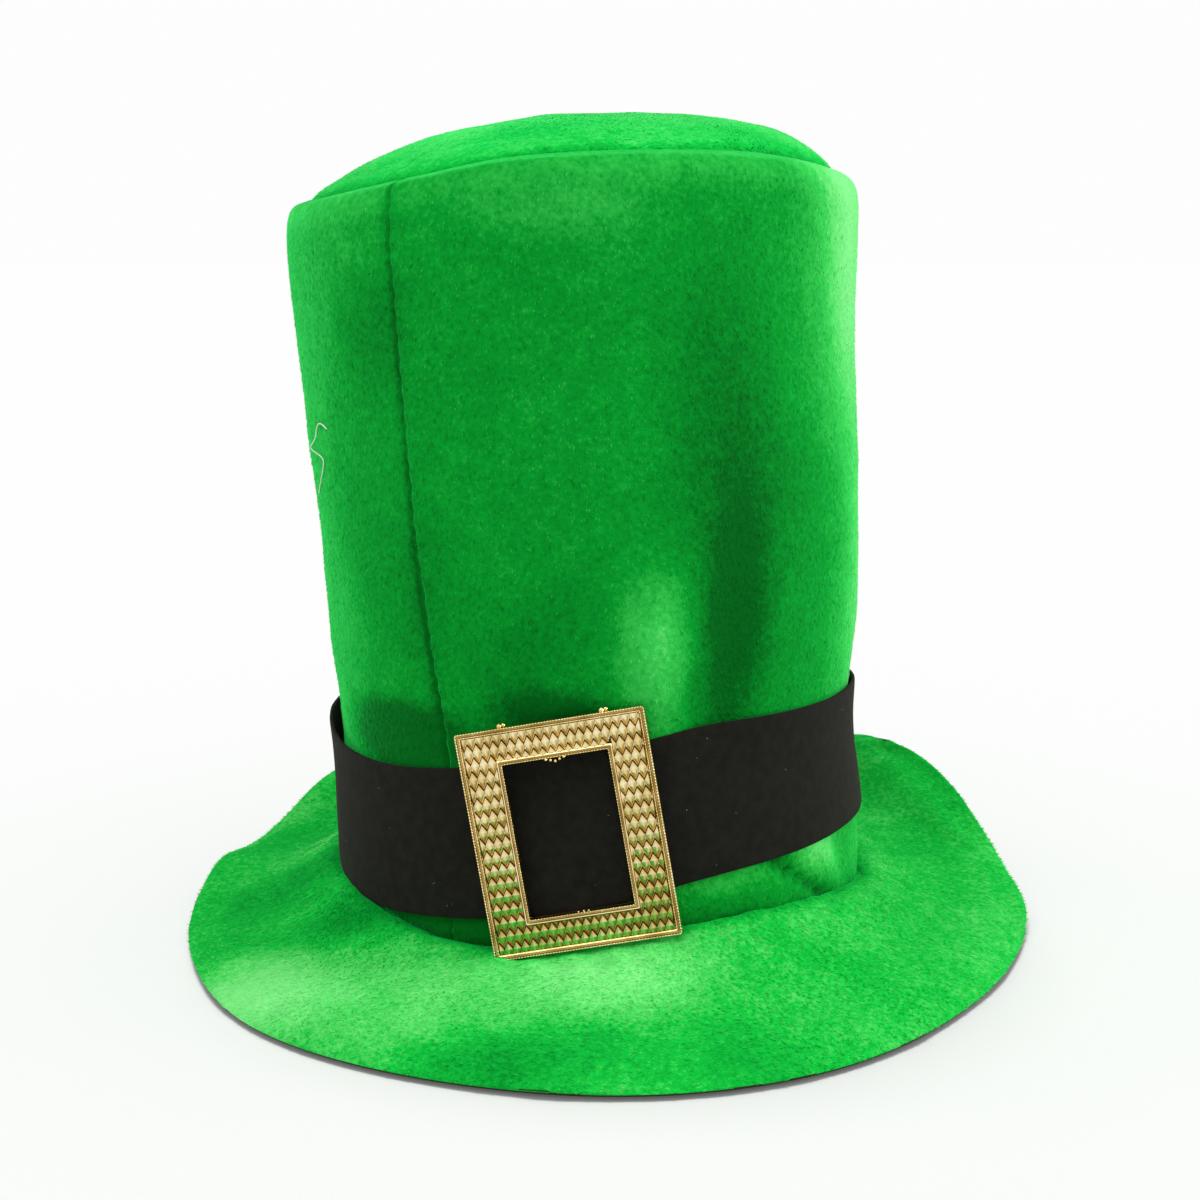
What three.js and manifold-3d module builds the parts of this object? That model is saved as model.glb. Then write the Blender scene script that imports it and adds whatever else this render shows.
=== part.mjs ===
// A leprechaun hat: a tall soft crown of green velvet on a padded brim, with a felt band and a gilt buckle.
// Millimetres, +Z up, the front towards -Y. It rests on the flat underside of its brim at z = 0.
import * as THREE from 'three';
import Module from 'manifold-3d';
import { mergeVertices } from 'three/addons/utils/BufferGeometryUtils.js';

// Crown: its wall is one strip of cloth, closed by an upright seam left of the front
const crownBaseRadius = 95.5;
const crownTopRadius = 101.6;
const crownHeight = 274;
const crownLean = 13.2;
const crownWall = 3;
const crownDentDepth = 3;
const shoulderDrop = 14;
const shoulderInset = 8.5;
const tipSeamSwing = 8;
const tipDome = 22;
const tipThickness = 3;
const wallSeamAngle = -32;
const wallSeamDrift = -2.8;
const wallSeamGroove = 1;
const wallSeamWidth = 2;

// Brim: a padded ring that slopes down from the crown to the surface and turns up behind
const brimReach = 160;
const brimThickness = 7.5;
const brimEdgeThickness = 5;
const brimTurnUp = 40;
const brimSeamHeight = 24;
const brimSeamSwing = 5;
const brimRestStart = 0.68;
const brimOverlap = 0.4;

// Band: a strip of felt that sits askew, low on the left and high on the right
const bandWidth = 51;
const bandThickness = 1.5;
const bandHeight = 37;
const bandSkew = 12;
const bandStandOff = 3;
const bandEase = 0.6;

// Buckle: a flat cast frame with two raised rims and rows of pointed teeth between them
const buckleWidth = 62;
const buckleHeight = 75;
const buckleBar = 13.7;
const buckleCrossBar = 12;
const bucklePlate = 2.2;
const buckleRim = 2.1;
const buckleRimRise = 0.9;
const buckleToothPitch = 2.9;
const buckleRowPitch = 4.3;
const buckleToothRise = 0.6;
const buckleCorner = 1;
const buckleRoll = 8.6;
const buckleLean = 2;
const buckleYaw = -3;
const buckleSide = -14.1;
const buckleCentreHeight = 62.4;

// Fit and fineness
const clearance = 0.35;
const columns = 56;

// Rows of the tables below are at angles in degrees from the front, positive to the right.
// Reach is a share of brimReach, lift of brimTurnUp.
const brimEdge = [
  { angle: -180, reach: 1.045, lift: 0 },
  { angle: -162, reach: 1.035, lift: 0.36 },
  { angle: -145, reach: 1.015, lift: 0.74 },
  { angle: -131, reach: 0.99, lift: 0.64 },
  { angle: -120, reach: 0.99, lift: 0.34 },
  { angle: -112, reach: 0.99, lift: 0.17 },
  { angle: -104, reach: 0.99, lift: 0.27 },
  { angle: -95, reach: 0.985, lift: 0.17 },
  { angle: -86, reach: 0.985, lift: 0 },
  { angle: -70, reach: 0.98, lift: 0 },
  { angle: -45, reach: 1.02, lift: 0 },
  { angle: -20, reach: 1.03, lift: 0 },
  { angle: 3, reach: 1.045, lift: 0 },
  { angle: 20, reach: 1.03, lift: 0 },
  { angle: 35, reach: 0.995, lift: 0 },
  { angle: 50, reach: 0.96, lift: 0 },
  { angle: 72, reach: 0.955, lift: 0 },
  { angle: 88, reach: 0.99, lift: 0.08 },
  { angle: 103, reach: 0.99, lift: 0.33 },
  { angle: 116, reach: 0.99, lift: 0.74 },
  { angle: 130, reach: 0.99, lift: 1.03 },
  { angle: 147, reach: 1.015, lift: 0.84 },
  { angle: 164, reach: 1.035, lift: 0.3 },
];

// Brim is a share of brimSeamSwing and tip of tipSeamSwing. Full is the power of the dome's curve.
const seams = [
  { angle: -150, brim: 0.2, tip: -0.3, full: 2.6 },
  { angle: -95, brim: 0.3, tip: -0.75, full: 2.2 },
  { angle: -62, brim: 0.1, tip: -0.75, full: 2.2 },
  { angle: -33, brim: -1.05, tip: -0.1, full: 2.2 },
  { angle: -8, brim: -0.2, tip: 0.7, full: 2.8 },
  { angle: 35, brim: 0.9, tip: 0.95, full: 3.8 },
  { angle: 62, brim: 0.1, tip: 0.6, full: 4.8 },
  { angle: 92, brim: -0.8, tip: 0.25, full: 5.2 },
  { angle: 140, brim: 0, tip: 0.3, full: 3.8 },
];

// Height is a share of crownHeight, bell goes from crownBaseRadius to crownTopRadius, lean is of crownLean.
const crownSections = [
  { height: 0.0, bell: 0.05, lean: 0.22 },
  { height: 0.18, bell: 0.06, lean: 0.26 },
  { height: 0.25, bell: -0.25, lean: 0.34 },
  { height: 0.33, bell: -0.28, lean: 0.45 },
  { height: 0.4, bell: 0.08, lean: 0.46 },
  { height: 0.48, bell: 0.33, lean: 0.48 },
  { height: 0.59, bell: 0.48, lean: 0.6 },
  { height: 0.69, bell: 0.63, lean: 0.74 },
  { height: 0.8, bell: 0.7, lean: 0.9 },
  { height: 0.88, bell: 0.87, lean: 1.0 },
  { height: 0.94, bell: 1.0, lean: 1.0 },
  { height: 1.03, bell: 1.0, lean: 0.98 },
];

// Height and tall are shares of crownHeight, wide is in degrees, depth is of crownDentDepth and inward.
const crownDents = [
  { name: 'behind the buckle', angle: -11, height: 0.27, wide: 25, tall: 0.17, depth: 1.25 },
  { name: 'crease above the band', angle: 25, height: 0.37, wide: 7, tall: 0.08, depth: 0.8 },
  { name: 'ridge beside the crease', angle: 11, height: 0.4, wide: 7, tall: 0.1, depth: -0.35 },
  { name: 'pleat below the band', angle: 62, height: 0.12, wide: 7, tall: 0.05, depth: 0.6 },
  { name: 'soft panel on the left', angle: -62, height: 0.62, wide: 14, tall: 0.25, depth: 0.5 },
  { name: 'soft panel on the right', angle: 45, height: 0.72, wide: 16, tall: 0.2, depth: 0.35 },
  { name: 'soft panel at the back', angle: 170, height: 0.5, wide: 25, tall: 0.22, depth: 0.8 },
];

// Skew is a share of bandSkew, standOff of bandStandOff at the band's upper edge.
const bandPath = [
  { angle: -135, skew: -0.2, standOff: 0.6 },
  { angle: -88, skew: -0.55, standOff: 1.0 },
  { angle: -72, skew: -0.95, standOff: 0.6 },
  { angle: -50, skew: -1.0, standOff: 0.1 },
  { angle: -30, skew: -0.72, standOff: 0 },
  { angle: -13, skew: -0.4, standOff: 0 },
  { angle: 0, skew: -0.1, standOff: 0 },
  { angle: 16, skew: 0.5, standOff: 0 },
  { angle: 34, skew: 0.82, standOff: 0 },
  { angle: 67, skew: 1.0, standOff: 0 },
  { angle: 95, skew: 0.9, standOff: 0.1 },
  { angle: 150, skew: 0.4, standOff: 0.2 },
];

/** A smooth curve through one column of a table, read at a place. period closes it into a ring. */
function read(table, key, column, place, period = 0) {
  const count = table.length;
  const wrapped = period ? table[0][key] + THREE.MathUtils.euclideanModulo(place - table[0][key], period) : place;
  let row = count - 1;
  while (row > 0 && table[row][key] > wrapped) row -= 1;
  const pick = (index) => {
    const turn = period ? Math.floor(index / count) : 0;
    const entry = table[period ? index - turn * count : THREE.MathUtils.clamp(index, 0, count - 1)];
    return { at: entry[key] + turn * period, value: entry[column] };
  };
  const [before, from, to, after] = [-1, 0, 1, 2].map((step) => pick(row + step));
  if (to.at === from.at) return from.value;
  const slope = (a, b) => (a.at === b.at ? 0 : (b.value - a.value) / (b.at - a.at));
  const span = to.at - from.at;
  const t = THREE.MathUtils.clamp((wrapped - from.at) / span, 0, 1);
  const startSlope = slope(before, to) * span;
  const endSlope = slope(from, after) * span;
  const t2 = t * t;
  const t3 = t2 * t;
  return (
    (2 * t3 - 3 * t2 + 1) * from.value + (t3 - 2 * t2 + t) * startSlope
    + (3 * t2 - 2 * t3) * to.value + (t3 - t2) * endSlope
  );
}

const readAround = (table, column, angle) => read(table, 'angle', column, angle, 360);
const angleBetween = (a, b) => THREE.MathUtils.euclideanModulo(a - b + 180, 360) - 180;

/** A point at an angle from the front and a radius, about the axis of the leaning crown or of the brim. */
function polar(angle, radius, z, axisX = 0) {
  const turn = THREE.MathUtils.degToRad(angle);
  return new THREE.Vector3(axisX + radius * Math.sin(turn), -radius * Math.cos(turn), z);
}

const crownAxis = (z) => -crownLean * read(crownSections, 'height', 'lean', z / crownHeight);
const tipSeamHeight = (angle) => crownHeight + tipSeamSwing * readAround(seams, 'tip', angle);
const brimSeamAt = (angle) => brimSeamHeight + brimSeamSwing * readAround(seams, 'brim', angle);
const wallSeamAt = (z) => wallSeamAngle + wallSeamDrift * THREE.MathUtils.smoothstep(z / crownHeight, 0.28, 0.58);

/** How far the dents press the wall in at an angle and a height. */
function dentAt(angle, z) {
  return crownDents.reduce((sum, dent) => {
    const aside = angleBetween(angle, dent.angle) / dent.wide;
    const above = (z / crownHeight - dent.height) / dent.tall;
    return sum + crownDentDepth * dent.depth * Math.exp(-aside * aside - above * above);
  }, 0);
}

/** The crown wall's outer radius: the bell of its sections, less the dents and the round shoulder. */
function crownRadius(angle, z) {
  const bell = read(crownSections, 'height', 'bell', z / crownHeight);
  const straight = crownBaseRadius + (crownTopRadius - crownBaseRadius) * bell;
  const climb = (z - tipSeamHeight(angle) + shoulderDrop) / shoulderDrop;
  const rise = THREE.MathUtils.clamp(climb, 0, 1);
  return straight - dentAt(angle, z) - shoulderInset * (1 - Math.sqrt(1 - rise * rise));
}

const brimInnerRadius = crownBaseRadius - crownWall - brimOverlap;
const brimAxis = crownAxis(brimSeamHeight);
const brimLift = (angle) => Math.max(0, brimTurnUp * readAround(brimEdge, 'lift', angle));

/** The brim at a share of the way out: the plan point and the height of its underside and its top. */
function brimAt(angle, share) {
  const inner = polar(angle, brimInnerRadius, 0, brimAxis);
  const outer = polar(angle, brimReach * readAround(brimEdge, 'reach', angle), 0);
  const plan = inner.lerp(outer, share);
  const slope = 1 - THREE.MathUtils.smoothstep(share, 0, brimRestStart);
  const under = (brimSeamAt(angle) - brimThickness) * slope + brimLift(angle) * share ** 1.7;
  const thinning = THREE.MathUtils.smoothstep(share, 0.75, 1);
  const thickness = THREE.MathUtils.lerp(brimThickness, brimEdgeThickness, thinning);
  return { plan, under, top: under + thickness };
}

/** The height of the brim's top below the crown's foot, at a distance out from the brim's inner edge. */
function brimTopAt(angle, outwards) {
  const span = brimReach * readAround(brimEdge, 'reach', angle) - brimInnerRadius;
  return brimAt(angle, outwards / span).top;
}

/** A closed skin over loops of points. poles joins each loop's first points, and its last ones, in one. */
function skin(loops, poles = false) {
  const across = loops[0].length;
  const at = (i, j) => {
    const column = i % loops.length;
    const row = j % across;
    return poles && (row === 0 || row === across - 1) ? row : column * across + row;
  };
  const indices = [];
  loops.forEach((_, i) => {
    for (let j = 0; j < (poles ? across - 1 : across); j += 1) {
      const [a, b, c, d] = [at(i, j), at(i, j + 1), at(i + 1, j + 1), at(i + 1, j)];
      if (a !== b && b !== c && c !== a) indices.push(a, c, b);
      if (a !== c && c !== d && d !== a) indices.push(a, d, c);
    }
  });
  const geometry = new THREE.BufferGeometry();
  geometry.setAttribute('position', new THREE.Float32BufferAttribute(loops.flat().flatMap((p) => p.toArray()), 3));
  geometry.setIndex(indices);
  return geometry;
}

const evenAngles = (count) => Array.from({ length: count }, (_, index) => (360 * index) / count);

/** The crown's wall: a cloth tube with a groove at its seam, which rounds in at the top to meet the tip. */
function crownSide() {
  const grooveHalf = THREE.MathUtils.radToDeg(wallSeamWidth / 2 / crownBaseRadius);
  const turns = [...evenAngles(columns), grooveHalf, 360 - grooveHalf].sort((a, b) => a - b);
  const outerRows = [0, 0.05, 0.11, 0.17, 0.23, 0.3, 0.37, 0.45, 0.55, 0.66, 0.77, 0.87, 0.94, 0.963, 0.98, 0.993, 1];
  const innerRows = [1, 0.98, 0.955, 0.92, 0.77, 0.6, 0.45, 0.33, 0.22, 0.1, 0];
  const wallPoint = (turn, row, depth, groove) => {
    const foot = brimSeamAt(turn + wallSeamAngle);
    const guess = THREE.MathUtils.lerp(foot, tipSeamHeight(turn + wallSeamAngle), row);
    const angle = turn + wallSeamAt(guess);
    const footHeight = brimTopAt(angle, crownWall + brimOverlap - depth) + clearance;
    const seamHeight = tipSeamHeight(angle) - depth;
    const z = THREE.MathUtils.lerp(footHeight, seamHeight, row);
    const radius = crownRadius(angle, Math.min(z + depth * row, tipSeamHeight(angle))) - depth * (1 - row ** 40);
    return polar(angle, radius - groove, z, crownAxis(z));
  };
  const loops = turns.map((turn) => {
    const groove = turn === 0 ? wallSeamGroove : 0;
    return [
      ...outerRows.map((row) => wallPoint(turn, row, 0, groove * Math.sqrt(1 - row))),
      ...innerRows.map((row) => wallPoint(turn, row, crownWall, 0)),
    ];
  });
  return skin(loops);
}

/** The tip: a domed disc of the same cloth, sewn edge to edge into the top of the wall. */
function crownTip() {
  const rimRadius = crownTopRadius - shoulderInset - clearance;
  const tipPoint = (angle, share, depth) => {
    const dome = share ** readAround(seams, 'full', angle);
    const seam = tipSeamHeight(angle);
    const z = THREE.MathUtils.lerp(crownHeight + tipDome, seam, dome) - depth;
    return polar(angle, rimRadius * share, z, crownAxis(seam));
  };
  const topShares = [1, 0.985, 0.94, 0.86, 0.74, 0.56, 0.3, 0];
  const underShares = [0, 0.4, 0.74, 0.92, 1];
  const loops = evenAngles(columns).map((angle) => [
    ...underShares.map((share) => tipPoint(angle, share, tipThickness)),
    ...topShares.map((share) => tipPoint(angle, share, 0)),
  ]);
  return skin(loops, true);
}

/** The brim: a padded ring with a round outer edge. Its underside is flat where it rests. */
function brim() {
  const underShares = [0, 0.12, 0.24, 0.36, 0.5, brimRestStart, 0.82, 0.955];
  const topShares = [0.955, 0.9, 0.8, brimRestStart, 0.55, 0.42, 0.3, 0.2, 0.1, 0.04, 0];
  const loops = evenAngles(columns).map((angle) => {
    const edge = brimAt(angle, 1);
    const middle = (edge.under + edge.top) / 2;
    const lip = brimAt(angle, 0.99);
    const lipRise = brimEdgeThickness * 0.3;
    return [
      ...underShares.map((share) => brimAt(angle, share)).map(({ plan, under }) => plan.setZ(under)),
      lip.plan.clone().setZ(middle - lipRise),
      edge.plan.setZ(middle),
      lip.plan.clone().setZ(middle + lipRise),
      ...topShares.map((share) => brimAt(angle, share)).map(({ plan, top }) => plan.setZ(top)),
    ];
  });
  return skin(loops);
}

const bandLowAt = (angle) => bandHeight + bandSkew * readAround(bandPath, 'skew', angle);

/** A point of the band at a share of its width, at a distance out from the crown's wall. */
function bandPoint(angle, share, outwards) {
  const z = bandLowAt(angle) + bandWidth * share;
  const lifted = bandStandOff * readAround(bandPath, 'standOff', angle) * share ** 2;
  return polar(angle, crownRadius(angle, z) + bandEase + lifted + outwards, z, crownAxis(z));
}

/** The hat band: a felt ring around the foot of the crown. */
function hatBand() {
  const rows = [0, 0.02, 0.25, 0.5, 0.75, 0.98, 1];
  const soft = (row) => (row === 0 || row === 1 ? bandThickness * 0.25 : 0);
  const loops = evenAngles(columns).map((angle) => [
    ...rows.map((row) => bandPoint(angle, row, bandThickness - soft(row))),
    ...rows.filter((row) => row !== 0.02 && row !== 0.98).reverse().map((row) => bandPoint(angle, row, soft(row) / 2)),
  ]);
  return skin(loops);
}

const wasm = await Module();
wasm.setup();

/** A closed three.js geometry as a solid for joins and cuts. */
function solid(geometry) {
  const bare = geometry.clone();
  bare.deleteAttribute('normal');
  bare.deleteAttribute('uv');
  const merged = mergeVertices(bare, 1e-5);
  return new wasm.Manifold(new wasm.Mesh({
    numProp: 3,
    vertProperties: Float32Array.from(merged.attributes.position.array),
    triVerts: Uint32Array.from(merged.index.array),
  }));
}

/** A solid as a three.js geometry again. */
function geometryOf(body) {
  const { vertProperties, triVerts } = body.getMesh();
  const geometry = new THREE.BufferGeometry();
  geometry.setAttribute('position', new THREE.BufferAttribute(Float32Array.from(vertProperties), 3));
  geometry.setIndex(Array.from(triVerts));
  return geometry;
}

/** A rectangle with cut corners, as a shape or a hole. */
function rectangle(width, height, corner, Kind = THREE.Shape) {
  const [x, y] = [width / 2, height / 2];
  const outline = new Kind();
  outline.moveTo(-x + corner, -y).lineTo(x - corner, -y).lineTo(x, -y + corner).lineTo(x, y - corner);
  outline.lineTo(x - corner, y).lineTo(-x + corner, y).lineTo(-x, y - corner).lineTo(-x, -y + corner).closePath();
  return outline;
}

/** A flat rectangular frame from its outer size and the width of its bars, standing between two levels. */
function frame(width, height, bar, crossBar, low, high) {
  const shape = rectangle(width, height, buckleCorner);
  shape.holes.push(rectangle(width - 2 * bar, height - 2 * crossBar, buckleCorner / 2, THREE.Path));
  const geometry = new THREE.ExtrudeGeometry(shape, { depth: high - low, bevelEnabled: false });
  return geometry.translate(0, 0, low);
}

/** One pointed tooth of the relief, a wedge that is tallest at its lower point. */
function tooth() {
  const half = buckleToothPitch * 0.46;
  const reach = buckleRowPitch * 0.42;
  const base = bucklePlate - 0.2;
  const foot = [[-half, reach, base], [half, reach, base], [0, -reach, base], [0, -reach * 0.8, base + 0.2 + buckleToothRise]];
  const geometry = new THREE.BufferGeometry();
  geometry.setAttribute('position', new THREE.Float32BufferAttribute(foot.flat(), 3));
  geometry.setIndex([0, 1, 2, 0, 3, 1, 1, 3, 2, 2, 3, 0]);
  return geometry;
}

/** Where the teeth stand: rows down the frame, every other row half a tooth along, none over the window. */
function toothPlaces() {
  const places = [];
  const fieldWidth = buckleWidth - 2 * buckleRim;
  const fieldHeight = buckleHeight - 2 * buckleRim;
  const windowWidth = buckleWidth - 2 * buckleBar + 2 * buckleRim;
  const windowHeight = buckleHeight - 2 * buckleCrossBar + 2 * buckleRim;
  const rows = Math.floor(fieldHeight / buckleRowPitch);
  for (let row = 0; row < rows; row += 1) {
    const y = ((rows - 1) / 2 - row) * buckleRowPitch;
    const count = Math.floor(fieldWidth / buckleToothPitch) - (row % 2);
    for (let step = 0; step < count; step += 1) {
      const x = (step - (count - 1) / 2) * buckleToothPitch;
      const besideX = Math.abs(x) + buckleToothPitch / 2 - windowWidth / 2;
      const besideY = Math.abs(y) + buckleRowPitch / 2 - windowHeight / 2;
      if (besideX > buckleToothPitch * 0.8 || besideY > buckleRowPitch * 0.8) places.push([x, y]);
    }
  }
  return places;
}

/** The buckle, flat on its back: its plate, the outer and inner rims and the teeth in one casting. */
function buckleCasting() {
  const [bar, crossBar, top] = [buckleBar, buckleCrossBar, bucklePlate + buckleRimRise];
  let body = solid(frame(buckleWidth, buckleHeight, bar, crossBar, 0, bucklePlate));
  const sunk = bucklePlate / 2;
  body = body.add(solid(frame(buckleWidth, buckleHeight, buckleRim, buckleRim, sunk, top)));
  const innerWidth = buckleWidth - 2 * bar + 2 * buckleRim;
  const innerHeight = buckleHeight - 2 * crossBar + 2 * buckleRim;
  body = body.add(solid(frame(innerWidth, innerHeight, buckleRim, buckleRim, sunk, top)));
  toothPlaces().forEach(([x, y]) => {
    body = body.add(solid(tooth().translate(x, y, 0)));
  });
  return geometryOf(body);
}

/** Stands the buckle up: its back clears the felt or the cloth that reaches furthest behind it. */
function placeBuckle(mesh) {
  const turn = new THREE.Matrix4().makeRotationZ(THREE.MathUtils.degToRad(buckleYaw));
  turn.multiply(new THREE.Matrix4().makeRotationX(THREE.MathUtils.degToRad(90 - buckleLean)));
  turn.multiply(new THREE.Matrix4().makeRotationZ(THREE.MathUtils.degToRad(buckleRoll)));
  const [right, up, out] = [0, 1, 2].map((axis) => new THREE.Vector3().setFromMatrixColumn(turn, axis));
  const centre = new THREE.Vector3(buckleSide, -crownBaseRadius, buckleCentreHeight);
  let seat = -Infinity;
  evenAngles(columns * 3).forEach((angle) => {
    for (let step = 0; step <= buckleHeight; step += 5) {
      const z = buckleCentreHeight + step - buckleHeight / 2;
      const share = (z - bandLowAt(angle)) / bandWidth;
      const onBand = share > 0 && share < 1;
      const wall = polar(angle, crownRadius(angle, z), z, crownAxis(z));
      const away = (onBand ? bandPoint(angle, share, bandThickness) : wall).sub(centre);
      const behind = Math.abs(away.dot(right)) < buckleWidth / 2 && Math.abs(away.dot(up)) < buckleHeight / 2;
      if (behind) seat = Math.max(seat, away.dot(out));
    }
  });
  mesh.quaternion.setFromRotationMatrix(turn);
  mesh.position.copy(centre.addScaledVector(out, seat + clearance));
}

function cloth(color, roughness) {
  return new THREE.MeshStandardMaterial({ color, roughness, metalness: 0 });
}

function piece(name, geometry, material) {
  geometry.computeVertexNormals();
  const mesh = new THREE.Mesh(geometry, material);
  mesh.name = name;
  return mesh;
}

const velvet = cloth(0x159c32, 0.9);
const felt = cloth(0x1b1c17, 0.95);
const gilt = new THREE.MeshStandardMaterial({ color: 0xd9a441, roughness: 0.3, metalness: 1 });

const hat = new THREE.Group();
hat.add(
  piece('crown_side', crownSide(), velvet),
  piece('crown_tip', crownTip(), velvet),
  piece('brim', brim(), velvet),
  piece('hat_band', hatBand(), felt),
);
const buckle = piece('buckle', buckleCasting(), gilt);
placeBuckle(buckle);
hat.add(buckle);

// The origin is the middle of the hat's outline, on the surface that it rests on
const outline = new THREE.Box3().setFromObject(hat, true);
const middle = outline.getCenter(new THREE.Vector3());
hat.position.set(-middle.x, -middle.y, 0);
hat.updateMatrixWorld(true);

export default hat;
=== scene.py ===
# %% [markdown]
# A leprechaun hat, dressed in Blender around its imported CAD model.
# The real hat is sewn from green velvet on a thin foam backing: a tall wall closed by one upright seam,
# a domed tip, and a padded brim. A strip of black felt runs round the foot of the crown, and a light
# gilt casting is glued to its front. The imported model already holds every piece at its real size, so this
# script only makes the surfaces: it copies the soft solids, rounds and puckers them, and grows the pile.

# %% Load the frame and keep its box
import math

import bmesh
import bpy
from mathutils import Matrix, Vector, noise
from mathutils.bvhtree import BVHTree


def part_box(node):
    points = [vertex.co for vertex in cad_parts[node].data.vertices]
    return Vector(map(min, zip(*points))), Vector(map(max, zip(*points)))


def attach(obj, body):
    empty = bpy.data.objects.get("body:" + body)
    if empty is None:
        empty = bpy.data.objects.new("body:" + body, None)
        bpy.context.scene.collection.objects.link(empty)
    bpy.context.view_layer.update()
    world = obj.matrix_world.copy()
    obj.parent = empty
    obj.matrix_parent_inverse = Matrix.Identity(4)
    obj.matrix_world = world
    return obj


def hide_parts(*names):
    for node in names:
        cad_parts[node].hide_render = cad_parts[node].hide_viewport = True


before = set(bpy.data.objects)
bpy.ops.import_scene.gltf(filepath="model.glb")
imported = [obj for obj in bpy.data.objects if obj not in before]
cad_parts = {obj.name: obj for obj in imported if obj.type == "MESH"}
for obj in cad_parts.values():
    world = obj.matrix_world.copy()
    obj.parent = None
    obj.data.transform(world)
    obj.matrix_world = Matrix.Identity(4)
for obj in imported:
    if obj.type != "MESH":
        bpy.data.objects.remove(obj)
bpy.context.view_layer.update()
MM = 0.001

# %% [markdown]
# The camera stands in front of the hat and looks down on it a little, as the photographer did.
# Its height, its distance and its lens together decide how round the brim looks and how much of the tip
# shows. They were found by laying the CAD model's outline over the photograph, so they are plain values.

# %% Make the camera
CAMERA_PLACE = (-0.00394, -0.72504, 0.250)
CAMERA_PITCH = math.radians(10)
CAMERA_LENS = 59.82
SENSOR_WIDTH = 36


def make_camera():
    data = bpy.data.cameras.new("camera")
    data.lens = CAMERA_LENS
    data.sensor_width = SENSOR_WIDTH
    camera = bpy.data.objects.new("camera", data)
    camera.location = CAMERA_PLACE
    camera.rotation_euler = (math.radians(90) - CAMERA_PITCH, 0, 0)
    bpy.context.scene.collection.objects.link(camera)
    bpy.context.scene.camera = camera
    return camera


camera = make_camera()
print("camera at", tuple(camera.location), "lens", CAMERA_LENS, "mm")

# %% [markdown]
# A node tree is easier to read when each node is one call. `put` makes a node, sets its plain settings and
# fills its sockets: a socket is linked and anything else is a value. `calc` is a Math node in one line, and
# `mixed`, `ranged` and `scaled` are the three nodes that come back most often. `new_group` makes an empty
# node group with named inputs and outputs, for shaders and for geometry alike.

# %% Node helpers
def fill(node, inputs):
    for key, value in inputs.items():
        if isinstance(value, bpy.types.NodeSocket):
            node.id_data.links.new(value, node.inputs[key])
        else:
            node.inputs[key].default_value = value
    return node


def put(tree, kind, inputs=None, **settings):
    node = tree.nodes.new(kind)
    for name, value in settings.items():
        setattr(node, name, value)
    return fill(node, inputs or {})


def calc(tree, operation, *values):
    return put(tree, "ShaderNodeMath", dict(enumerate(values)), operation=operation).outputs[0]


def vector_calc(tree, operation, *values):
    node = put(tree, "ShaderNodeVectorMath", dict(enumerate(values)), operation=operation)
    return node.outputs["Value" if operation == "LENGTH" else "Vector"]


def scaled(tree, vector, share):
    return put(tree, "ShaderNodeVectorMath", {0: vector, "Scale": share}, operation="SCALE").outputs[0]


def mixed(tree, factor, low, high):
    return put(tree, "ShaderNodeMix", {0: factor, 6: low, 7: high}, data_type="RGBA").outputs[2]


def ranged(tree, value, low, high, **settings):
    limits = {"Value": value, "From Min": low, "From Max": high}
    return put(tree, "ShaderNodeMapRange", limits, **settings).outputs["Result"]


def new_group(name, kind, inputs, outputs):
    tree = bpy.data.node_groups.new(name, kind)
    for label, socket, value in inputs:
        made = tree.interface.new_socket(label, in_out="INPUT", socket_type="NodeSocket" + socket)
        if value is not None:
            made.default_value = value
    for label, socket in outputs:
        tree.interface.new_socket(label, in_out="OUTPUT", socket_type="NodeSocket" + socket)
    return tree, put(tree, "NodeGroupInput").outputs, put(tree, "NodeGroupOutput")


def placed(tree, group, inputs):
    return put(tree, "ShaderNodeGroup", inputs, node_tree=group)


print("node helpers are ready")

# %% [markdown]
# The photograph was taken in a white light tent: everything round the hat is nearly white, the strongest
# light comes from above, and another on the right puts a bright edge on the crown. Suns with a wide disc
# give such soft, even light over any distance, so the floor stays one tone right up to the horizon. The
# world is white for the camera and weaker as a light, so that folds keep their shade. Three suns light the
# hat alone, because the photograph shows no long shadows. A fourth stands high behind and lights the floor
# alone, so the hat's shadow there is short. The floor shines a little as well: how much is worked out from
# the lights, so that floor and world come out alike.

# %% Light the scene and lay the floor
FLOOR_SIZE = 60
FLOOR_DROP = 0.3 * MM
WORLD_SEEN = 0.985
WORLD_LIGHT = 0.42
FLOOR_SEEN = 0.99
FLOOR_WHITE = 0.95
# name, azimuth from the front in degrees and positive to the right, height, disc, strength, what it lights
SUNS = (
    ("floor", -150, 83, 28, 1.75, "floor"),
    ("top", -20, 66, 50, 1.6, "hat"),
    ("right", 86, 24, 20, 1.8, "hat"),
    ("left", -58, 30, 50, 0.55, "hat"),
)


def make_world():
    world = bpy.data.worlds.new("tent")
    bpy.context.scene.world = world
    world.use_nodes = True
    tree = world.node_tree
    tree.nodes.clear()
    path = put(tree, "ShaderNodeLightPath")
    seen = calc(tree, "MAXIMUM", path.outputs["Is Camera Ray"], path.outputs["Is Glossy Ray"])
    strength = calc(tree, "MULTIPLY_ADD", seen, WORLD_SEEN - WORLD_LIGHT, WORLD_LIGHT)
    white = put(tree, "ShaderNodeBackground", {"Color": (1, 1, 1, 1), "Strength": strength})
    put(tree, "ShaderNodeOutputWorld", {"Surface": white.outputs[0]})


def make_floor():
    half = FLOOR_SIZE / 2
    mesh = bpy.data.meshes.new("floor")
    corners = [(-half, -half), (half, -half), (half, half), (-half, half)]
    mesh.from_pydata([(x, y, -FLOOR_DROP) for x, y in corners], [], [(0, 1, 2, 3)])
    floor = bpy.data.objects.new("floor", mesh)
    bpy.context.scene.collection.objects.link(floor)
    return floor


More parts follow.
